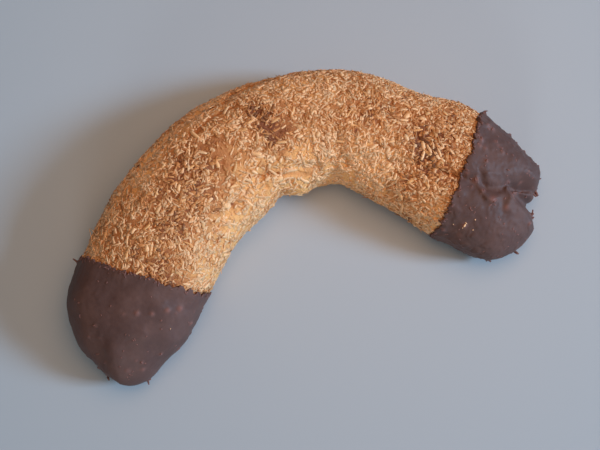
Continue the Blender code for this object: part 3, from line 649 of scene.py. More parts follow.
def rolled_sheet(name, points):
    """A closed skin: a flat grid, rolled up so that its corners lie at rings of points, with closed ends."""
    rings, round_it = points.shape[:2]
    shape = bmesh.new()
    bmesh.ops.create_grid(shape, x_segments=rings - 1, y_segments=round_it, size=1.0)
    for corner in shape.verts:
        ring = round((corner.co.x + 1) / 2 * (rings - 1))
        place = round((corner.co.y + 1) / 2 * round_it) % round_it
        corner.co = points[ring, place]
    bmesh.ops.remove_doubles(shape, verts=shape.verts, dist=1e-7)
    rims = [edge for edge in shape.edges if edge.is_boundary]
    caps = bmesh.ops.holes_fill(shape, edges=rims, sides=0)["faces"]
    bmesh.ops.poke(shape, faces=caps)
    bmesh.ops.recalc_face_normals(shape, faces=shape.faces)
    mesh = bpy.data.meshes.new(name)
    shape.to_mesh(mesh)
    shape.free()
    return linked(name, mesh)


def mesh_points(mesh):
    flat = np.empty(len(mesh.vertices) * 3)
    mesh.vertices.foreach_get("co", flat)
    return flat.reshape(-1, 3)


def paint(mesh, name, values):
    """Keeps one number at each corner of a mesh, for its material."""
    values = np.asarray(values, np.float32).ravel()
    mesh.attributes.new(name, "FLOAT", "POINT").data.foreach_set("value", values)


def settle(piece, material):
    """The last touches on every piece: its finish, smooth faces, and the body that it rides on."""
    piece.data.transform(Matrix.Translation(TO_FRAME))
    piece.data.materials.append(material)
    piece.data.shade_smooth()
    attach(piece, "root")


def aimed(eye, target, up):
    """A place and turn for a camera or light at eye that looks at target."""
    back = (eye - target).normalized()
    right = up.cross(back).normalized()
    return Matrix.Translation(eye) @ Matrix((right, back.cross(right), back)).transposed().to_4x4()


def add_node(tree, kind, inputs, **settings):
    """A node with its settings, and with inputs linked to sockets or set, by name or by place."""
    node = tree.nodes.new("ShaderNode" + kind)
    for key, value in settings.items():
        setattr(node, key, value)
    for key, value in inputs.items():
        if isinstance(value, bpy.types.NodeSocket):
            tree.links.new(value, node.inputs[key])
        else:
            node.inputs[key].default_value = value
    return node


def mixed(tree, factor, first, second, blend="MIX"):
    inputs = {0: factor, 6: first, 7: second}
    return add_node(tree, "Mix", inputs, data_type="RGBA", blend_type=blend).outputs[2]


def worked(tree, operation, *values):
    return add_node(tree, "Math", dict(enumerate(values)), operation=operation).outputs[0]


def ranged(tree, value, low, high, to_low=0.0, to_high=1.0):
    inputs = dict(enumerate((value, low, high, to_low, to_high)))
    return add_node(tree, "MapRange", inputs, interpolation_type="SMOOTHSTEP").outputs[0]


def place_in(tree):
    """The object's own coordinates."""
    return tree.nodes.new("ShaderNodeTexCoord").outputs["Object"]


def noise_in(tree, size, detail):
    inputs = {"Vector": place_in(tree), "Scale": 1.0 / size, "Detail": detail, "Roughness": 0.55}
    return add_node(tree, "TexNoise", inputs).outputs["Fac"]


def attribute_in(tree, name):
    return add_node(tree, "Attribute", {}, attribute_name=name).outputs["Fac"]


def group_of(name, inputs, outputs):
    """A node group with sockets named as given, and the sockets at its two ends."""
    group = bpy.data.node_groups.new(name, "ShaderNodeTree")
    for way, sockets in (("INPUT", inputs), ("OUTPUT", outputs)):
        for label, kind in sockets.items():
            group.interface.new_socket(name=label, in_out=way, socket_type="NodeSocket" + kind)
    return group, group.nodes.new("NodeGroupInput").outputs, group.nodes.new("NodeGroupOutput").inputs


def baking_group():
    """Turns a browning value into a colour: pale, browned and then dark, with small mottling."""
    inputs = {"Toast": "Float", "Pale": "Color", "Browned": "Color", "Dark": "Color", "Mottle": "Float"}
    group, given, end = group_of("Baking", inputs, {"Color": "Color"})
    mottle = worked(group, "SUBTRACT", noise_in(group, 0.9 * MM, 3.0), 0.5)
    toast = worked(group, "ADD", given["Toast"], worked(group, "MULTIPLY", mottle, given["Mottle"]))
    lighter = mixed(group, ranged(group, toast, 0.05, 0.72), given["Pale"], given["Browned"])
    baked = mixed(group, ranged(group, toast, 0.66, 1.05), lighter, given["Dark"])
    group.links.new(baked, end["Color"])
    return group


def grain_group():
    """Fine lumps for a Bump node, and a mask of their low places, which the crust uses for painted shade."""
    ends = {"Size": "Float", "Sharpness": "Float"}, {"Height": "Float", "Low": "Float"}
    group, given, end = group_of("Grain", *ends)
    where = {"Vector": place_in(group), "Scale": worked(group, "DIVIDE", 1.0, given["Size"])}
    coarse = add_node(group, "TexNoise", {**where, "Detail": 4.0, "Roughness": given["Sharpness"]})
    cells = add_node(group, "TexVoronoi", where, feature="F1")
    between = worked(group, "MULTIPLY", cells.outputs["Distance"], 0.35)
    lumps = worked(group, "SUBTRACT", coarse.outputs["Fac"], between)
    group.links.new(lumps, end["Height"])
    group.links.new(ranged(group, lumps, 0.30, 0.12), end["Low"])
    return group


def grouped(tree, name, maker, inputs):
    """Places a group that more than one finish uses, which is made once."""
    return add_node(tree, "Group", inputs, node_tree=bpy.data.node_groups.get(name) or maker()).outputs


def baked_colour(tree, *values):
    """The colour of a baked surface: its pale, browned and dark colours, and how mottled it is."""
    inputs = dict(zip(("Pale", "Browned", "Dark", "Mottle"), values))
    return grouped(tree, "Baking", baking_group, {"Toast": attribute_in(tree, "toast"), **inputs})["Color"]


def grained(tree, shader, size, sharpness, height, strength):
    """Gives a surface its fine lumps, and says where they are low, for painted shade."""
    grain = grouped(tree, "Grain", grain_group, {"Size": size, "Sharpness": sharpness})
    bump = add_node(tree, "Bump", {"Strength": strength, "Distance": height, "Height": grain["Height"]})
    tree.links.new(bump.outputs["Normal"], shader["Normal"])
    return grain["Low"]


def new_material(name, roughness, specular):
    """A material, its tree and its shader's inputs."""
    material = bpy.data.materials.new(name)
    material.use_nodes = True
    shader = material.node_tree.nodes["Principled BSDF"].inputs
    shader["Roughness"].default_value = roughness
    shader["Specular IOR Level"].default_value = specular
    return material, material.node_tree, shader


def crust_finish(settings):
    """Baked dough: golden to brown by its browning, redder in its pits and cracks as painted shade, with a
    fine crumb.
    """
    material, tree, shader = new_material("baked_dough", settings.roughness, 0.25)
    baked = baked_colour(tree, settings.golden, settings.browned, settings.dark, 0.45)
    low = grained(tree, shader, 0.55 * MM, 0.6, 0.35 * MM, 0.7)
    # Painted shade: the cracks and the crumb's low places are painted browner, as if shade fell into them.
    shaded_pits = worked(tree, "MAXIMUM", low, attribute_in(tree, "pit"))
    pit_shaded = mixed(tree, worked(tree, "MULTIPLY", shaded_pits, 0.55), baked, settings.browned)
    tree.links.new(pit_shaded, shader["Base Color"])
    return material


def shred_finish(name, settings, pale, browned, mottle):
    """Dried coconut: a waxy strip, paler or browner by its own tone and by where it lies."""
    material, tree, shader = new_material(name, settings.roughness, 0.25)
    baked = baked_colour(tree, pale, browned, settings.scorched, mottle)
    tone = ranged(tree, attribute_in(tree, "tone"), 0.0, 1.0, 0.80, 1.09)
    grey = add_node(tree, "CombineColor", {0: tone, 1: tone, 2: tone}).outputs[0]
    tree.links.new(mixed(tree, 1.0, baked, grey, "MULTIPLY"), shader["Base Color"])
    grained(tree, shader, 0.3 * MM, 0.5, 0.12 * MM, 0.5)
    return material


def chocolate_finish(settings):
    """Set dark chocolate: satin, with duller bloomed patches, fine pits, and reddish nubs that are partly
    painted highlight.
    """
    material, tree, shader = new_material("set_chocolate", settings.roughness, 0.24)
    patches = ranged(tree, noise_in(tree, 9 * MM, 3.0), 0.38, 0.66)
    streaks = ranged(tree, noise_in(tree, 1.6 * MM, 4.0), 0.45, 0.75)
    bloom = worked(tree, "MULTIPLY_ADD", streaks, 0.3, worked(tree, "MULTIPLY", patches, 0.6))
    body = mixed(tree, bloom, settings.body, settings.bloom)
    # Partly painted highlight: nubs and bead tops turn paler and redder, as coconut under a thin coat and as
    # lit tops.
    nub_and_highlight_share = worked(tree, "MULTIPLY", attribute_in(tree, "nub"), 0.65)
    tree.links.new(mixed(tree, nub_and_highlight_share, body, settings.nubs), shader["Base Color"])
    dull = worked(tree, "MULTIPLY_ADD", bloom, 0.16, settings.roughness - 0.06)
    tree.links.new(dull, shader["Roughness"])
    grained(tree, shader, 1.1 * MM, 0.45, 0.06 * MM, 0.7)
    return material


def crust_places(angles):
    """Places along the whole dough for each angle: few under the chocolate, even ones between the lips."""
    hidden, start = 1.6 * MM, COAT + GAP
    left = dip_place(LEFT, angles) - hidden
    right = dip_place(RIGHT, angles) + hidden
    steps = (np.arange(1, 11)[:, None] / 11) ** 1.6
    under_left = start + (left - start) * steps
    under_right = ROLL_LENGTH - start - (ROLL_LENGTH - start - right) * steps[::-1]
    between = left + (right - left) * np.linspace(0, 1, CRUST_RINGS)[:, None]
    return np.vstack([under_left, between, under_right])


def bead_relief(points, beads):
    """How far beads draw the chocolate out, each from the point that is nearest to it."""
    pulled = np.zeros(points.shape[:-1])
    for *spot, radius, height in beads:
        nearest = ((points - np.array(spot) * MM) ** 2).sum(axis=-1).argmin()
        away = np.linalg.norm(points - points.reshape(-1, 3)[nearest], axis=-1) / (radius * MM)
        pulled = np.maximum(pulled, height * MM * np.exp(-(away**2.2) * 1.3))
    return pulled


def scattered_beads(points, side, count):
    """Small nubs of coconut under the chocolate, anywhere above its foot."""
    draw = random.Random(SEED + 1 + side)
    high = points[points[..., 2] > 2.5 * MM] / MM
    beads = []
    for _ in range(count):
        spot = high[draw.randrange(len(high))]
        beads.append((*spot, draw.uniform(0.35, 0.8), draw.uniform(0.08, 0.34)))
    return beads


def eased(points):
    """A ringed grid, relaxed where it is steep and crowded between the right dip's two lobes."""
    place, reach = np.array([71.5, -21.5, 9.0]) * MM, 4.5 * MM
    for _ in range(30):
        amount = 0.6 * np.exp(-(((points - place) ** 2).sum(axis=-1) / reach**2))
        middle = (np.roll(points, 1, axis=1) + np.roll(points, -1, axis=1)) / 4
        middle[1:-1] += (points[:-2] + points[2:]) / 4
        amount[[0, -1]] = 0.0
        points = points + amount[..., None] * (middle - points)
    return points


def coat_points(side, settings):
    """Rings of a dip from its tip to the lip, rings that fold back inside, and the height of its beads."""
    _, _, beads, ridges, hollows, nubs, lumpiness = COATS[side]
    angles = ring_angles(COAT_TURN)
    lip = dip_place(side, angles, LIP_RAG)
    reach = from_end(side, lip)
    tips = reach * (np.arange(1, COAT_RINGS + 1)[:, None] / COAT_RINGS) ** 1.35
    places = from_end(side, tips)
    proud = LIP_PROUD * (1 - smooth(0, 5 * MM, np.abs(tips - reach)))
    points = eased(skin_point(places, angles, -proud, 0.0))
    outward, _ = outward_of(places, angles)
    ripple = noise_at(points, 7 * MM) + 0.45 * noise_at(points + 0.1, 3.1 * MM)
    ripple = ripple + 0.25 * noise_at(points + 0.2, 1.2 * MM)
    knobs = smooth(0.05, 0.55, noise_at(points + 0.3, 2.3 * MM))
    knobs = knobs + 0.5 * smooth(0.1, 0.5, noise_at(points, 1.3 * MM))
    placed, loose = bead_relief(points, beads), bead_relief(points, scattered_beads(points, side, nubs))
    folds = routes_at(points, ridges, 0.2, 0.3) - MM * spots_at(points, hollows)
    relief = settings.ripple * ripple + lumpiness * settings.knobs * knobs + placed + loose
    relief = relief + folds * smooth(-0.15, 0.35, np.sin(angles))
    points = points + outward * (relief * smooth(0, 2.5 * MM, points[..., 2]))[..., None]
    points[..., 2] = np.maximum(points[..., 2], 0.0)
    folded = [
        skin_point(from_end(side, reach + beyond * MM), angles, inset * MM, max(inset, 0.0) * MM)[None]
        for beyond, inset in LIP_FOLD
    ]
    inner = COAT + (reach - 2 * MM - COAT) * (np.arange(12, 0, -1)[:, None] / 13) ** 1.35
    folded.append(skin_point(from_end(side, inner), angles, COAT, COAT))
    return points, np.concatenate(folded), np.maximum(placed, loose)


def make_coat(side, settings):
    """One dip, and the grid of its outside."""
    name, node = COATS[side][:2]
    outer, inner, beaded = coat_points(side, settings)
    coat = rolled_sheet(name, np.concatenate([outer, inner]))
    known = KDTree(beaded.size)
    for i, point in enumerate(outer.reshape(-1, 3)):
        known.insert(point, i)
    known.balance()
    # The tops of the beads take the nub colour by their height, partly as painted highlight.
    marks = beaded.ravel() / (0.4 * MM)
    near = [known.find(corner)[1:] for corner in mesh_points(coat.data)]
    paint(coat.data, "nub", [min(marks[i], 1.0) * (away < 0.1 * MM) for i, away in near])
    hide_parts(node)
    return coat, outer


def nearest_places(grid, spots):
    """Rows and columns of a grid's points that lie nearest to spots in millimetres, in plan or in space."""
    size = len(spots[0])
    found = [((grid[..., :size] - np.array(spot) * MM) ** 2).sum(axis=-1).argmin() for spot in spots]
    return np.unravel_index(found, grid.shape[:2])


def axes_of(points, along, around, inner):
    """Points with the ways along the roll, round it and out, away from points inside."""
    out = unit(np.cross(along, around))
    out = out * np.where(((points - inner) * out).sum(axis=-1) < 0, -1.0, 1.0)[:, None]
    along = unit(along)
    return points, along, np.cross(out, along), out


def grid_axes(grid, rows, columns):
    """Axes at points of a ringed grid."""
    turns = grid.shape[1]
    along = grid[np.minimum(rows + 1, len(grid) - 1), columns] - grid[np.maximum(rows - 1, 0), columns]
    around = grid[rows, (columns + 1) % turns] - grid[rows, (columns - 1) % turns]
    return axes_of(grid[rows, columns], along, around, grid.mean(axis=1)[rows])


def dough_axes(s, angle):
    """Axes at places on the dough, and how far its skin spreads there."""
    reach, turn = 0.4 * MM, 0.05
    along = dough_point(s + reach, angle) - dough_point(s - reach, angle)
    around = dough_point(s, angle + turn) - dough_point(s, angle - turn)
    spread = np.linalg.norm(np.cross(along, around), axis=-1)
    return axes_of(dough_point(s, angle), along, around, station(s)[0] + np.array([0, 0, 9 * MM])), spread


def strip_sizes(draw, length, width, thick, bend=1.0, tilt=8.0):
    """Rows for lay_strips, in which each strip is bent, kinked, turned and tilted in its own way."""
    count = len(length)
    return np.column_stack(
        [
            length,
            width,
            thick,
            draw.uniform(-0.2, 0.5, count),
            draw.uniform(-0.4, 0.4, count),
            bend * draw.normal(0, 0.09, count),
            bend * draw.normal(0, 0.04, count),
            bend * draw.normal(0, 0.4, count),
            draw.uniform(0, math.pi, count),
            np.radians(tilt * np.clip(draw.normal(0, 1, count), -1.8, 1.8)),
            bend * draw.normal(0, 1.0, count) * (draw.uniform(0, 1, count) < 0.55),
            draw.uniform(-0.25, 0.25, count),
        ]
    )


def spin_to(axes, degrees):
    """The spin, from the way along the roll, that turns strips to an angle in plan."""
    return np.radians(degrees) - np.arctan2(axes[1][:, 1], axes[1][:, 0])


def placed_strips(grid, rows):
    """Axes and sizes of strips on a ringed grid, from rows of a place, length, width and turn."""
    axes = grid_axes(grid, *nearest_places(grid, [row[:3] for row in rows]))
    length, width, turn = np.array(rows).T[3:]
    draw = np.random.default_rng(SEED + len(rows))
    sizes = strip_sizes(draw, length * MM, width * MM, width * 0.6 * MM, bend=0.5, tilt=4.0)
    sizes[:, SPIN] = spin_to(axes, turn)
    return axes, sizes


def nubs_on(grid, seed, count):
    """Coated crumbs of coconut that stand out of the chocolate, half sunk, evenly spread over it."""
    draw = np.random.default_rng(seed)
    around = np.roll(grid, -1, axis=1) - np.roll(grid, 1, axis=1)
    area = np.linalg.norm(np.cross(np.gradient(grid, axis=0), around), axis=-1) * (grid[..., 2] > 2.5 * MM)
    area[:3] = 0.0
    found = np.unravel_index(draw.choice(area.size, count, p=(area / area.sum()).ravel()), area.shape)
    length, width = draw.uniform(0.4, 1.0, count) * MM, draw.uniform(0.32, 0.5, count) * MM
    thick = width * draw.uniform(0.35, 0.6, count)
    return grid_axes(grid, *found), strip_sizes(draw, length, width, thick, bend=0.6, tilt=6.0)


def fringe_on(grid, seed, count):
    """Coated shreds along the lip, which reach over the bare coconut."""
    draw = np.random.default_rng(seed)
    high = np.flatnonzero(grid[-1, :, 2] > 1.5 * MM)
    columns = high[draw.integers(0, len(high), count)]
    axes = grid_axes(grid, len(grid) - 1 - draw.integers(0, 2, count), columns)
    length, width = draw.uniform(0.6, 1.6, count) * MM, draw.uniform(0.30, 0.55, count) * MM
    sizes = strip_sizes(draw, length, width, np.full(count, 0.2 * MM), tilt=4.0)
    sizes[:, SPIN] = draw.normal(0, 1.0, count)
    sizes[:, TILT] -= 0.12 * np.cos(sizes[:, SPIN])
    return axes, sizes


def strip_shape(cuts):
    """Corners and faces of a unit strip, cut across so that it can bend."""
    shape = bmesh.new()
    bmesh.ops.create_cube(shape, size=1)
    if cuts:
        long_edges = [edge for edge in shape.edges if abs(edge.verts[0].co.x - edge.verts[1].co.x) > 0.5]
        bmesh.ops.subdivide_edges(shape, edges=long_edges, cuts=cuts, use_grid_fill=True)
    shape.verts.index_update()
    corners = np.array([vert.co[:] for vert in shape.verts])
    faces = np.array([[vert.index for vert in face.verts] for face in shape.faces])
    shape.free()
    return corners, faces


def turned(first, second, angle):
    return first * np.cos(angle) - second * np.sin(angle), first * np.sin(angle) + second * np.cos(angle)


def lay_strips(name, axes, sizes, cuts, lift, material, slot="baked_coconut", **marks):
    """Many strips joined as one piece: each is tapered, bent, twisted and laid on the surface.

    A row of sizes is a strip's length, width, thickness, narrowing, skew, bow, curl, twist, spin, tilt, kink
    and the kink's place. Marks are numbers that the material reads, for each strip or for all.
    """
    corners, faces = strip_shape(cuts)
    x, y, z = corners.T[:, None]
    length, width, thick, narrow, skew, bow, curl, twist, spin, tilt, kink, elbow = sizes.T[..., None]
    slim = (1 - narrow * (x + 0.5)) * (1 - 0.45 * (2 * x) ** 4)
    along, arch = x * length, length * (4 * x**2 - 0.34)
    sideways = y * width * slim + skew * width * (x + 0.5) + bow * arch
    sideways = sideways + kink * length * np.maximum(x - elbow, 0)
    rounding = (np.cos(spin) ** 2 / 60 + np.sin(spin) ** 2 / 14) / MM
    up = z * thick * (1 - 0.3 * (2 * x) ** 2) + curl * arch - along**2 * rounding / 2
    sideways, up = sideways - up * twist * x * 2, up + sideways * twist * x * 2
    along, up = turned(along, up, tilt)
    along, sideways = turned(along, sideways, spin)
    amounts = along, sideways, up + np.broadcast_to(lift, len(sizes))[:, None]
    spots = axes[0][:, None] + sum(amount[..., None] * way[:, None] for amount, way in zip(amounts, axes[1:]))
    spots[..., 2] = np.maximum(spots[..., 2], 0.0)
    count, size = spots.shape[:2]
    mesh = bpy.data.meshes.new(name)
    mesh.vertices.add(count * size)
    mesh.vertices.foreach_set("co", spots.ravel())
    loops = (faces[None] + size * np.arange(count)[:, None, None]).ravel()
    mesh.loops.add(len(loops))
    mesh.loops.foreach_set("vertex_index", loops)
    mesh.polygons.add(count * len(faces))
    mesh.polygons.foreach_set("loop_start", np.arange(count * len(faces)) * 4)
    mesh.update(calc_edges=True)
    for label, values in marks.items():
        paint(mesh, label, np.repeat(np.broadcast_to(values, count), size))
    settle(linked(name, mesh), material)


def large_strips():
    """Places and sizes of the largest shreds, drawn in the solid's own order, each with a bend of its own."""
    draw, extra = random.Random(SEED), random.Random(SEED + 7)
    first, last = NOSES[LEFT][0], NOSES[RIGHT][0]
    row_step = (ROLL_LENGTH - first - last) / SHRED_ROWS
    turn_step = (math.pi + 2 * SHRED_BELOW) / SHREDS_A_ROW
    places = []
    for row in range(SHRED_ROWS):
        for place in range(SHREDS_A_ROW):
            s = first + (row + 0.5 + draw.uniform(-LARGE_STRAY, LARGE_STRAY)) * row_step
            sideways = draw.uniform(-LARGE_STRAY, LARGE_STRAY)
            places.append((s, (place + 0.5 * (row % 2) + sideways) * turn_step - SHRED_BELOW))
    places = np.array(places).T
    points = dough_point(*places)
    places = places[:, (points[:, 2] > LARGE_LOWEST) & (past_dips(points) < -CLEAR_OF_DIP)]
    rows = []
    for _ in places[0]:
        length, width = draw.uniform(*LARGE_LENGTH), draw.uniform(*LARGE_WIDTH)
        narrow, skew = 1 - draw.uniform(0.45, 0.9), draw.uniform(-0.3, 0.3)
        spin, tilt = draw.uniform(0, math.pi), math.radians(draw.uniform(-LARGE_TILT, LARGE_TILT))
        bends = extra.uniform(-0.05, 0.05), extra.uniform(-0.02, 0.03), extra.uniform(-0.25, 0.25)
        rows.append((length, width, 0.24 * MM, narrow, skew, *bends, spin, tilt, 0.0, 0.0))
    return places, np.array(rows)


def small_places(count, seed):
    """Random places for small strips, even over the surface, fewer where the dough is bare."""
    draw = np.random.default_rng(seed)
    tries = int(count * 3.4)
    first, last = 0.6 * NOSES[LEFT][0], ROLL_LENGTH - 0.6 * NOSES[RIGHT][0]
    s = first + (last - first) * (np.arange(tries) + draw.uniform(0, 1, tries)) / tries
    angle = draw.uniform(-0.8, math.pi + 0.8, tries)
    to_lip = np.minimum(s - lip_at(LEFT, angle), lip_at(RIGHT, angle) - s)
    axes, spread = dough_axes(s, angle)
    chance = spread / np.quantile(spread, 0.97) * (1 - bareness(axes[0]))
    keep = (draw.uniform(0, 1, tries) < chance) & (axes[0][:, 2] > 0.5 * MM) & (to_lip > -0.5 * MM)
    chosen = np.flatnonzero(keep)
    if len(chosen) > count:
        chosen = np.sort(draw.choice(chosen, count, replace=False))
    return draw, (crust_point(s[chosen], angle[chosen]), *(way[chosen] for way in axes[1:])), to_lip[chosen]


def shred_toast_and_light(draw, points, to_lip):
    """Browning of strips where they lie, with painted light from the pale places, their own share, and
    stained next to the lip.
    """
    stained = 0.4 * np.exp(-((np.maximum(to_lip, 0) / (0.6 * MM)) ** 2))
    browning = toast_and_light_at(points)
    stray = draw.normal(0, 0.18, len(points)) * (0.4 + 1.3 * browning)
    return 0.10 + 0.52 * browning + 0.35 * smooth(0.78, 1.0, browning) + stray + stained


class COOKIE_OT_stage(bpy.types.Operator):
    """Make the floor, the lights and the camera"""

    bl_idname = "cookie.make_stage"
    bl_label = "Make stage"

    def execute(self, context):
        scene = context.scene
        settings = scene.cookie_stage
        shape = bmesh.new()
        bmesh.ops.create_grid(shape, x_segments=1, y_segments=1, size=2.5)
        bmesh.ops.translate(shape, vec=(0, 0, -0.05 * MM), verts=shape.verts)
        mesh = bpy.data.meshes.new("floor")
        shape.to_mesh(mesh)
        shape.free()
        floor = linked("floor", mesh)
        material, _, shader = new_material("floor", 0.6, 0.3)
        shader["Base Color"].default_value = settings.floor
        mesh.materials.append(material)
        right = Vector((math.cos(settings.turn), -math.sin(settings.turn), 0))
        away = Vector((math.sin(settings.turn), math.cos(settings.turn), 0))
        up = Vector((0, 0, 1))
        middle = Vector((0, 0, 0.01))
        for name, to_right, further, higher, size, strength, tint in LIGHTS:
            light = bpy.data.lights.new(name, "AREA")
            light.size = size
            light.energy = getattr(settings, strength)
            light.color = tint
            eye = middle + right * to_right + away * further + up * higher
            linked(name, light).matrix_world = aimed(eye, middle, up)
        scene.world = world = bpy.data.worlds.new("studio")
        world.use_nodes = True
        tree = world.node_tree
        sky = tree.nodes["Background"].inputs
        sky["Color"].default_value = (0.7216, 0.880, 0.92, 1.0)
        way = tree.nodes.new("ShaderNodeTexCoord").outputs["Generated"]
        rise = worked(tree, "MAXIMUM", add_node(tree, "SeparateXYZ", {0: way}).outputs[2], LOWEST_SKY)
        tree.links.new(worked(tree, "MULTIPLY", rise, settings.sky), sky["Strength"])
        target = Vector(LOOKED_AT)
        back = up * math.sin(settings.elevation) - away * math.cos(settings.elevation)
        view = bpy.data.cameras.new("camera")
        view.lens, view.sensor_width, view.clip_start = 50.0, 36.0, 0.01
        scene.camera = linked("camera", view)
        scene.camera.matrix_world = aimed(target + settings.camera_distance * back, target, away)
        scene.view_settings.view_transform = "Standard"
        scene.view_settings.look = "None"
        return {"FINISHED"}


class COOKIE_OT_crust(bpy.types.Operator):
    """Make the baked crust that the shreds lie on"""

    bl_idname = "cookie.make_crust"
    bl_label = "Make crust"

    def execute(self, context):
        angles = ring_angles(CRUST_TURN)
        crust = rolled_sheet("crust", crust_point(crust_places(angles), angles))
        corners = mesh_points(crust.data)
        stained = 0.3 * smooth(-1.0 * MM, 0.0, past_dips(corners))
        paint(crust.data, "toast", 1.15 * toast_and_light_at(corners) + 0.06 + stained)
        # Painted shade: the depth of the cracks, which the finish paints browner.
        paint(crust.data, "pit", np.clip(crack_depth(corners) / (0.6 * MM), 0, 1))
        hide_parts("coconut_crescent")
        settle(crust, crust_finish(context.scene.cookie_crust))
        return {"FINISHED"}


class COOKIE_OT_chocolate(bpy.types.Operator):
    """Make the two chocolate dips"""

    bl_idname = "cookie.make_chocolate"
    bl_label = "Make chocolate dips"

    def execute(self, context):
        settings, coconut = context.scene.cookie_chocolate, context.scene.cookie_shreds
        finish = chocolate_finish(settings)
        coats, grids = zip(*(make_coat(side, settings) for side in (LEFT, RIGHT)))
        for coat in coats:
            settle(coat, finish)
        hooks = [placed_strips(*pair) for pair in zip(grids, (LEFT_HOOKS, RIGHT_HOOKS))]
        for _, sizes in hooks:
            sizes[:, TILT] = math.radians(65)
        nubs = [placed_strips(*pair) for pair in zip(grids, (LEFT_NUBS, RIGHT_NUBS))]
        nubs += [nubs_on(grids[LEFT], SEED + 11, 30), nubs_on(grids[RIGHT], SEED + 12, 80)]
        fringes = [fringe_on(grid, SEED + 13 + side, 90) for side, grid in enumerate(grids)]
        axes, sizes = zip(*hooks, *nubs, *fringes)
        axes, sizes = [np.concatenate(ways) for ways in zip(*axes)], np.concatenate(sizes)
        fringe = np.arange(len(sizes)) >= len(sizes) - 180
        # The nub colour is partly coconut under the coat and partly painted highlight; the fringe takes less
        # of it.
        lift, nub_and_highlight_mark = np.where(fringe, -0.04, -0.03) * MM, np.where(fringe, 0.7, 1.0)
        lay_strips("chocolate_nubs", axes, sizes, 3, lift, finish, "chocolate", nub=nub_and_highlight_mark)
        speck = shred_finish("bare_speck", coconut, coconut.white, coconut.straw, 0.2)
        axes, sizes = placed_strips(np.concatenate(grids), SPECKS)
        lay_strips("bare_specks", axes, sizes, 3, 0.05 * MM, speck, toast=0.1, tone=0.9)
        return {"FINISHED"}


class COOKIE_OT_large_shreds(bpy.types.Operator):
    """Make the largest coconut shreds, where the solid has them"""

    bl_idname = "cookie.make_large_shreds"
    bl_label = "Make large shreds"

    def execute(self, context):
        settings = context.scene.cookie_shreds
        places, sizes = large_strips()
        axes, _ = dough_axes(*places)
        draw = np.random.default_rng(SEED + 3)
        toast = 0.22 + 0.55 * toast_and_light_at(axes[0]) + draw.normal(0, 0.10, len(sizes))
        tone = draw.uniform(0.2, 1.0, len(sizes))
        finish = shred_finish("large_shred", settings, settings.white, settings.straw, 0.25)
        lay_strips("large_shreds", axes, sizes, 5, 0.04 * MM, finish, toast=toast, tone=tone)
        return {"FINISHED"}


class COOKIE_OT_flakes(bpy.types.Operator):
    """Make the wide pale flakes that stand out on the dough"""

    bl_idname = "cookie.make_flakes"
    bl_label = "Make flakes"

    def execute(self, context):
        settings = context.scene.cookie_shreds
        _, _, length, width, turn = np.array(FLAKES).T
        along = np.linspace(NOSES[LEFT][0], ROLL_LENGTH - NOSES[RIGHT][0], 400)
        s, angle = np.meshgrid(along, np.linspace(0.15, math.pi - 0.15, 130), indexing="ij")
        found = nearest_places(dough_point(s, angle), [row[:2] for row in FLAKES])
        axes, _ = dough_axes(s[found], angle[found])
        axes = (crust_point(s[found], angle[found]), *axes[1:])
        draw = np.random.default_rng(SEED + 21)
        count = len(FLAKES)
        thick = settings.thickness * draw.uniform(0.5, 0.8, count)
        sizes = strip_sizes(draw, length * MM, width * MM, thick, bend=0.3, tilt=5.0)
        sizes[:, SPIN] = spin_to(axes, turn)
        toast, tone = draw.uniform(0.1, 0.4, count), draw.uniform(0.6, 1.0, count)
        finish = shred_finish("flake", settings, settings.white, settings.straw, 0.2)
        lay_strips("flakes", axes, sizes, 3, 0.24 * MM, finish, toast=toast, tone=tone)
        return {"FINISHED"}


class COOKIE_OT_crumbs(bpy.types.Operator):
    """Make the flat chips and crumbs of coconut between the shreds"""

    bl_idname = "cookie.make_crumbs"
    bl_label = "Make crumbs"

    def execute(self, context):
        settings = context.scene.cookie_shreds
        draw, axes, to_lip = small_places(settings.crumbs, SEED + 31)
        count = len(to_lip)
        length = draw.uniform(0.6, 1.4, count) * MM
        width = length * draw.uniform(0.4, 0.75, count)
        thick = settings.thickness * draw.uniform(0.7, 1.3, count)
        sizes = strip_sizes(draw, length, width, thick, bend=0.0, tilt=9.0)
        toast = shred_toast_and_light(draw, axes[0], to_lip)
        lift, tone = settings.lift * draw.uniform(-0.2, 0.8, count), draw.uniform(0, 1, count)
        finish = shred_finish("crumb", settings, settings.white, settings.toasted, 0.3)
        lay_strips("crumbs", axes, sizes, 0, lift, finish, toast=toast, tone=tone)
        return {"FINISHED"}


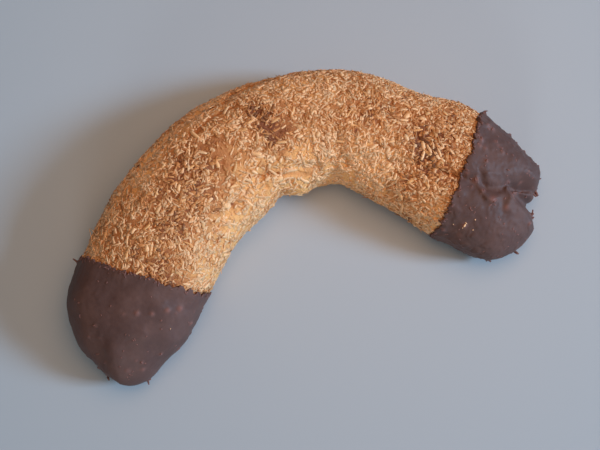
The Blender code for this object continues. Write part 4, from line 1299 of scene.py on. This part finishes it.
class COOKIE_OT_small_shreds(bpy.types.Operator):
    """Make the small shreds, sorted into pale, golden and browned ones"""

    bl_idname = "cookie.make_small_shreds"
    bl_label = "Make small shreds"

    def execute(self, context):
        settings = context.scene.cookie_shreds
        draw, axes, to_lip = small_places(settings.count, SEED)
        count = len(to_lip)
        sort = draw.uniform(0, 1, count)
        threads, wide = sort < 0.10, sort > 0.87
        long = draw.uniform(2.0, 3.4, count)
        short = 0.9 + 1.8 * draw.uniform(0, 1, count) ** 1.3
        length = np.where(threads, long, short) * MM
        width = np.where(threads, draw.uniform(0.30, 0.48, count), draw.uniform(0.45, 0.80, count)) * MM
        width = np.where(wide, draw.uniform(0.85, 1.20, count) * MM, width)
        thick = settings.thickness * draw.uniform(0.7, 1.3, count)
        sizes = strip_sizes(draw, length, width, thick, bend=np.where(threads, 1.0, 0.6), tilt=6.0)
        rough = np.max([most * np.exp(-round_away(axes[0], *spot)) for *spot, most in ROUGH], axis=0)
        sizes[:, TILT] *= 1 + 1.6 * rough
        toast = shred_toast_and_light(draw, axes[0], to_lip) + 0.42 * rough * draw.normal(0, 1, count)
        tone = draw.uniform(0, 1, count)
        lift = settings.lift * draw.uniform(-0.15, 1.0, count) * (1 + 1.2 * rough) * (0.5 + toast_and_light_at(axes[0]))
        kind = np.digitize(toast, np.quantile(toast, (0.34, 0.67)))
        finishes = (
            ("pale_shreds", settings.white, settings.straw, 0.2),
            ("golden_shreds", settings.white, settings.toasted, 0.35),
            ("browned_shreds", settings.straw, settings.toasted, 0.3),
        )
        for i, (name, pale, browned, mottle) in enumerate(finishes):
            mine = kind == i
            finish = shred_finish(name, settings, pale, browned, mottle)
            own = [part[mine] for part in axes]
            lay_strips(name, own, sizes[mine], 3, lift[mine], finish, toast=toast[mine], tone=tone[mine])
        return {"FINISHED"}


SETTINGS = {
    "cookie_crust": CrustSettings,
    "cookie_shreds": ShredSettings,
    "cookie_chocolate": ChocolateSettings,
    "cookie_stage": StageSettings,
}
MAKERS = (
    COOKIE_OT_stage,
    COOKIE_OT_crust,
    COOKIE_OT_chocolate,
    COOKIE_OT_large_shreds,
    COOKIE_OT_flakes,
    COOKIE_OT_crumbs,
    COOKIE_OT_small_shreds,
)


class COOKIE_PT_panel(bpy.types.Panel):
    """Lists the makers and their settings"""

    bl_idname = "COOKIE_PT_panel"
    bl_label = "Coconut crescent"
    bl_space_type = "VIEW_3D"
    bl_region_type = "UI"
    bl_category = "Cookie"

    def draw(self, context):
        for maker in MAKERS:
            self.layout.operator(maker.bl_idname)
        for name in SETTINGS:
            box = self.layout.box()
            settings = getattr(context.scene, name)
            for key in settings.__annotations__:
                box.prop(settings, key)


def register():
    for kind in (*SETTINGS.values(), *MAKERS, COOKIE_PT_panel):
        bpy.utils.register_class(kind)
    for name, kind in SETTINGS.items():
        setattr(bpy.types.Scene, name, bpy.props.PointerProperty(type=kind))


def unregister():
    for name in SETTINGS:
        delattr(bpy.types.Scene, name)
    for kind in reversed((*SETTINGS.values(), *MAKERS, COOKIE_PT_panel)):
        bpy.utils.unregister_class(kind)


def main():
    register()
    bpy.ops.cookie.make_stage()
    bpy.ops.cookie.make_crust()
    bpy.ops.cookie.make_chocolate()
    bpy.ops.cookie.make_large_shreds()
    bpy.ops.cookie.make_flakes()
    bpy.ops.cookie.make_crumbs()
    bpy.ops.cookie.make_small_shreds()


if __name__ == "__main__":
    main()
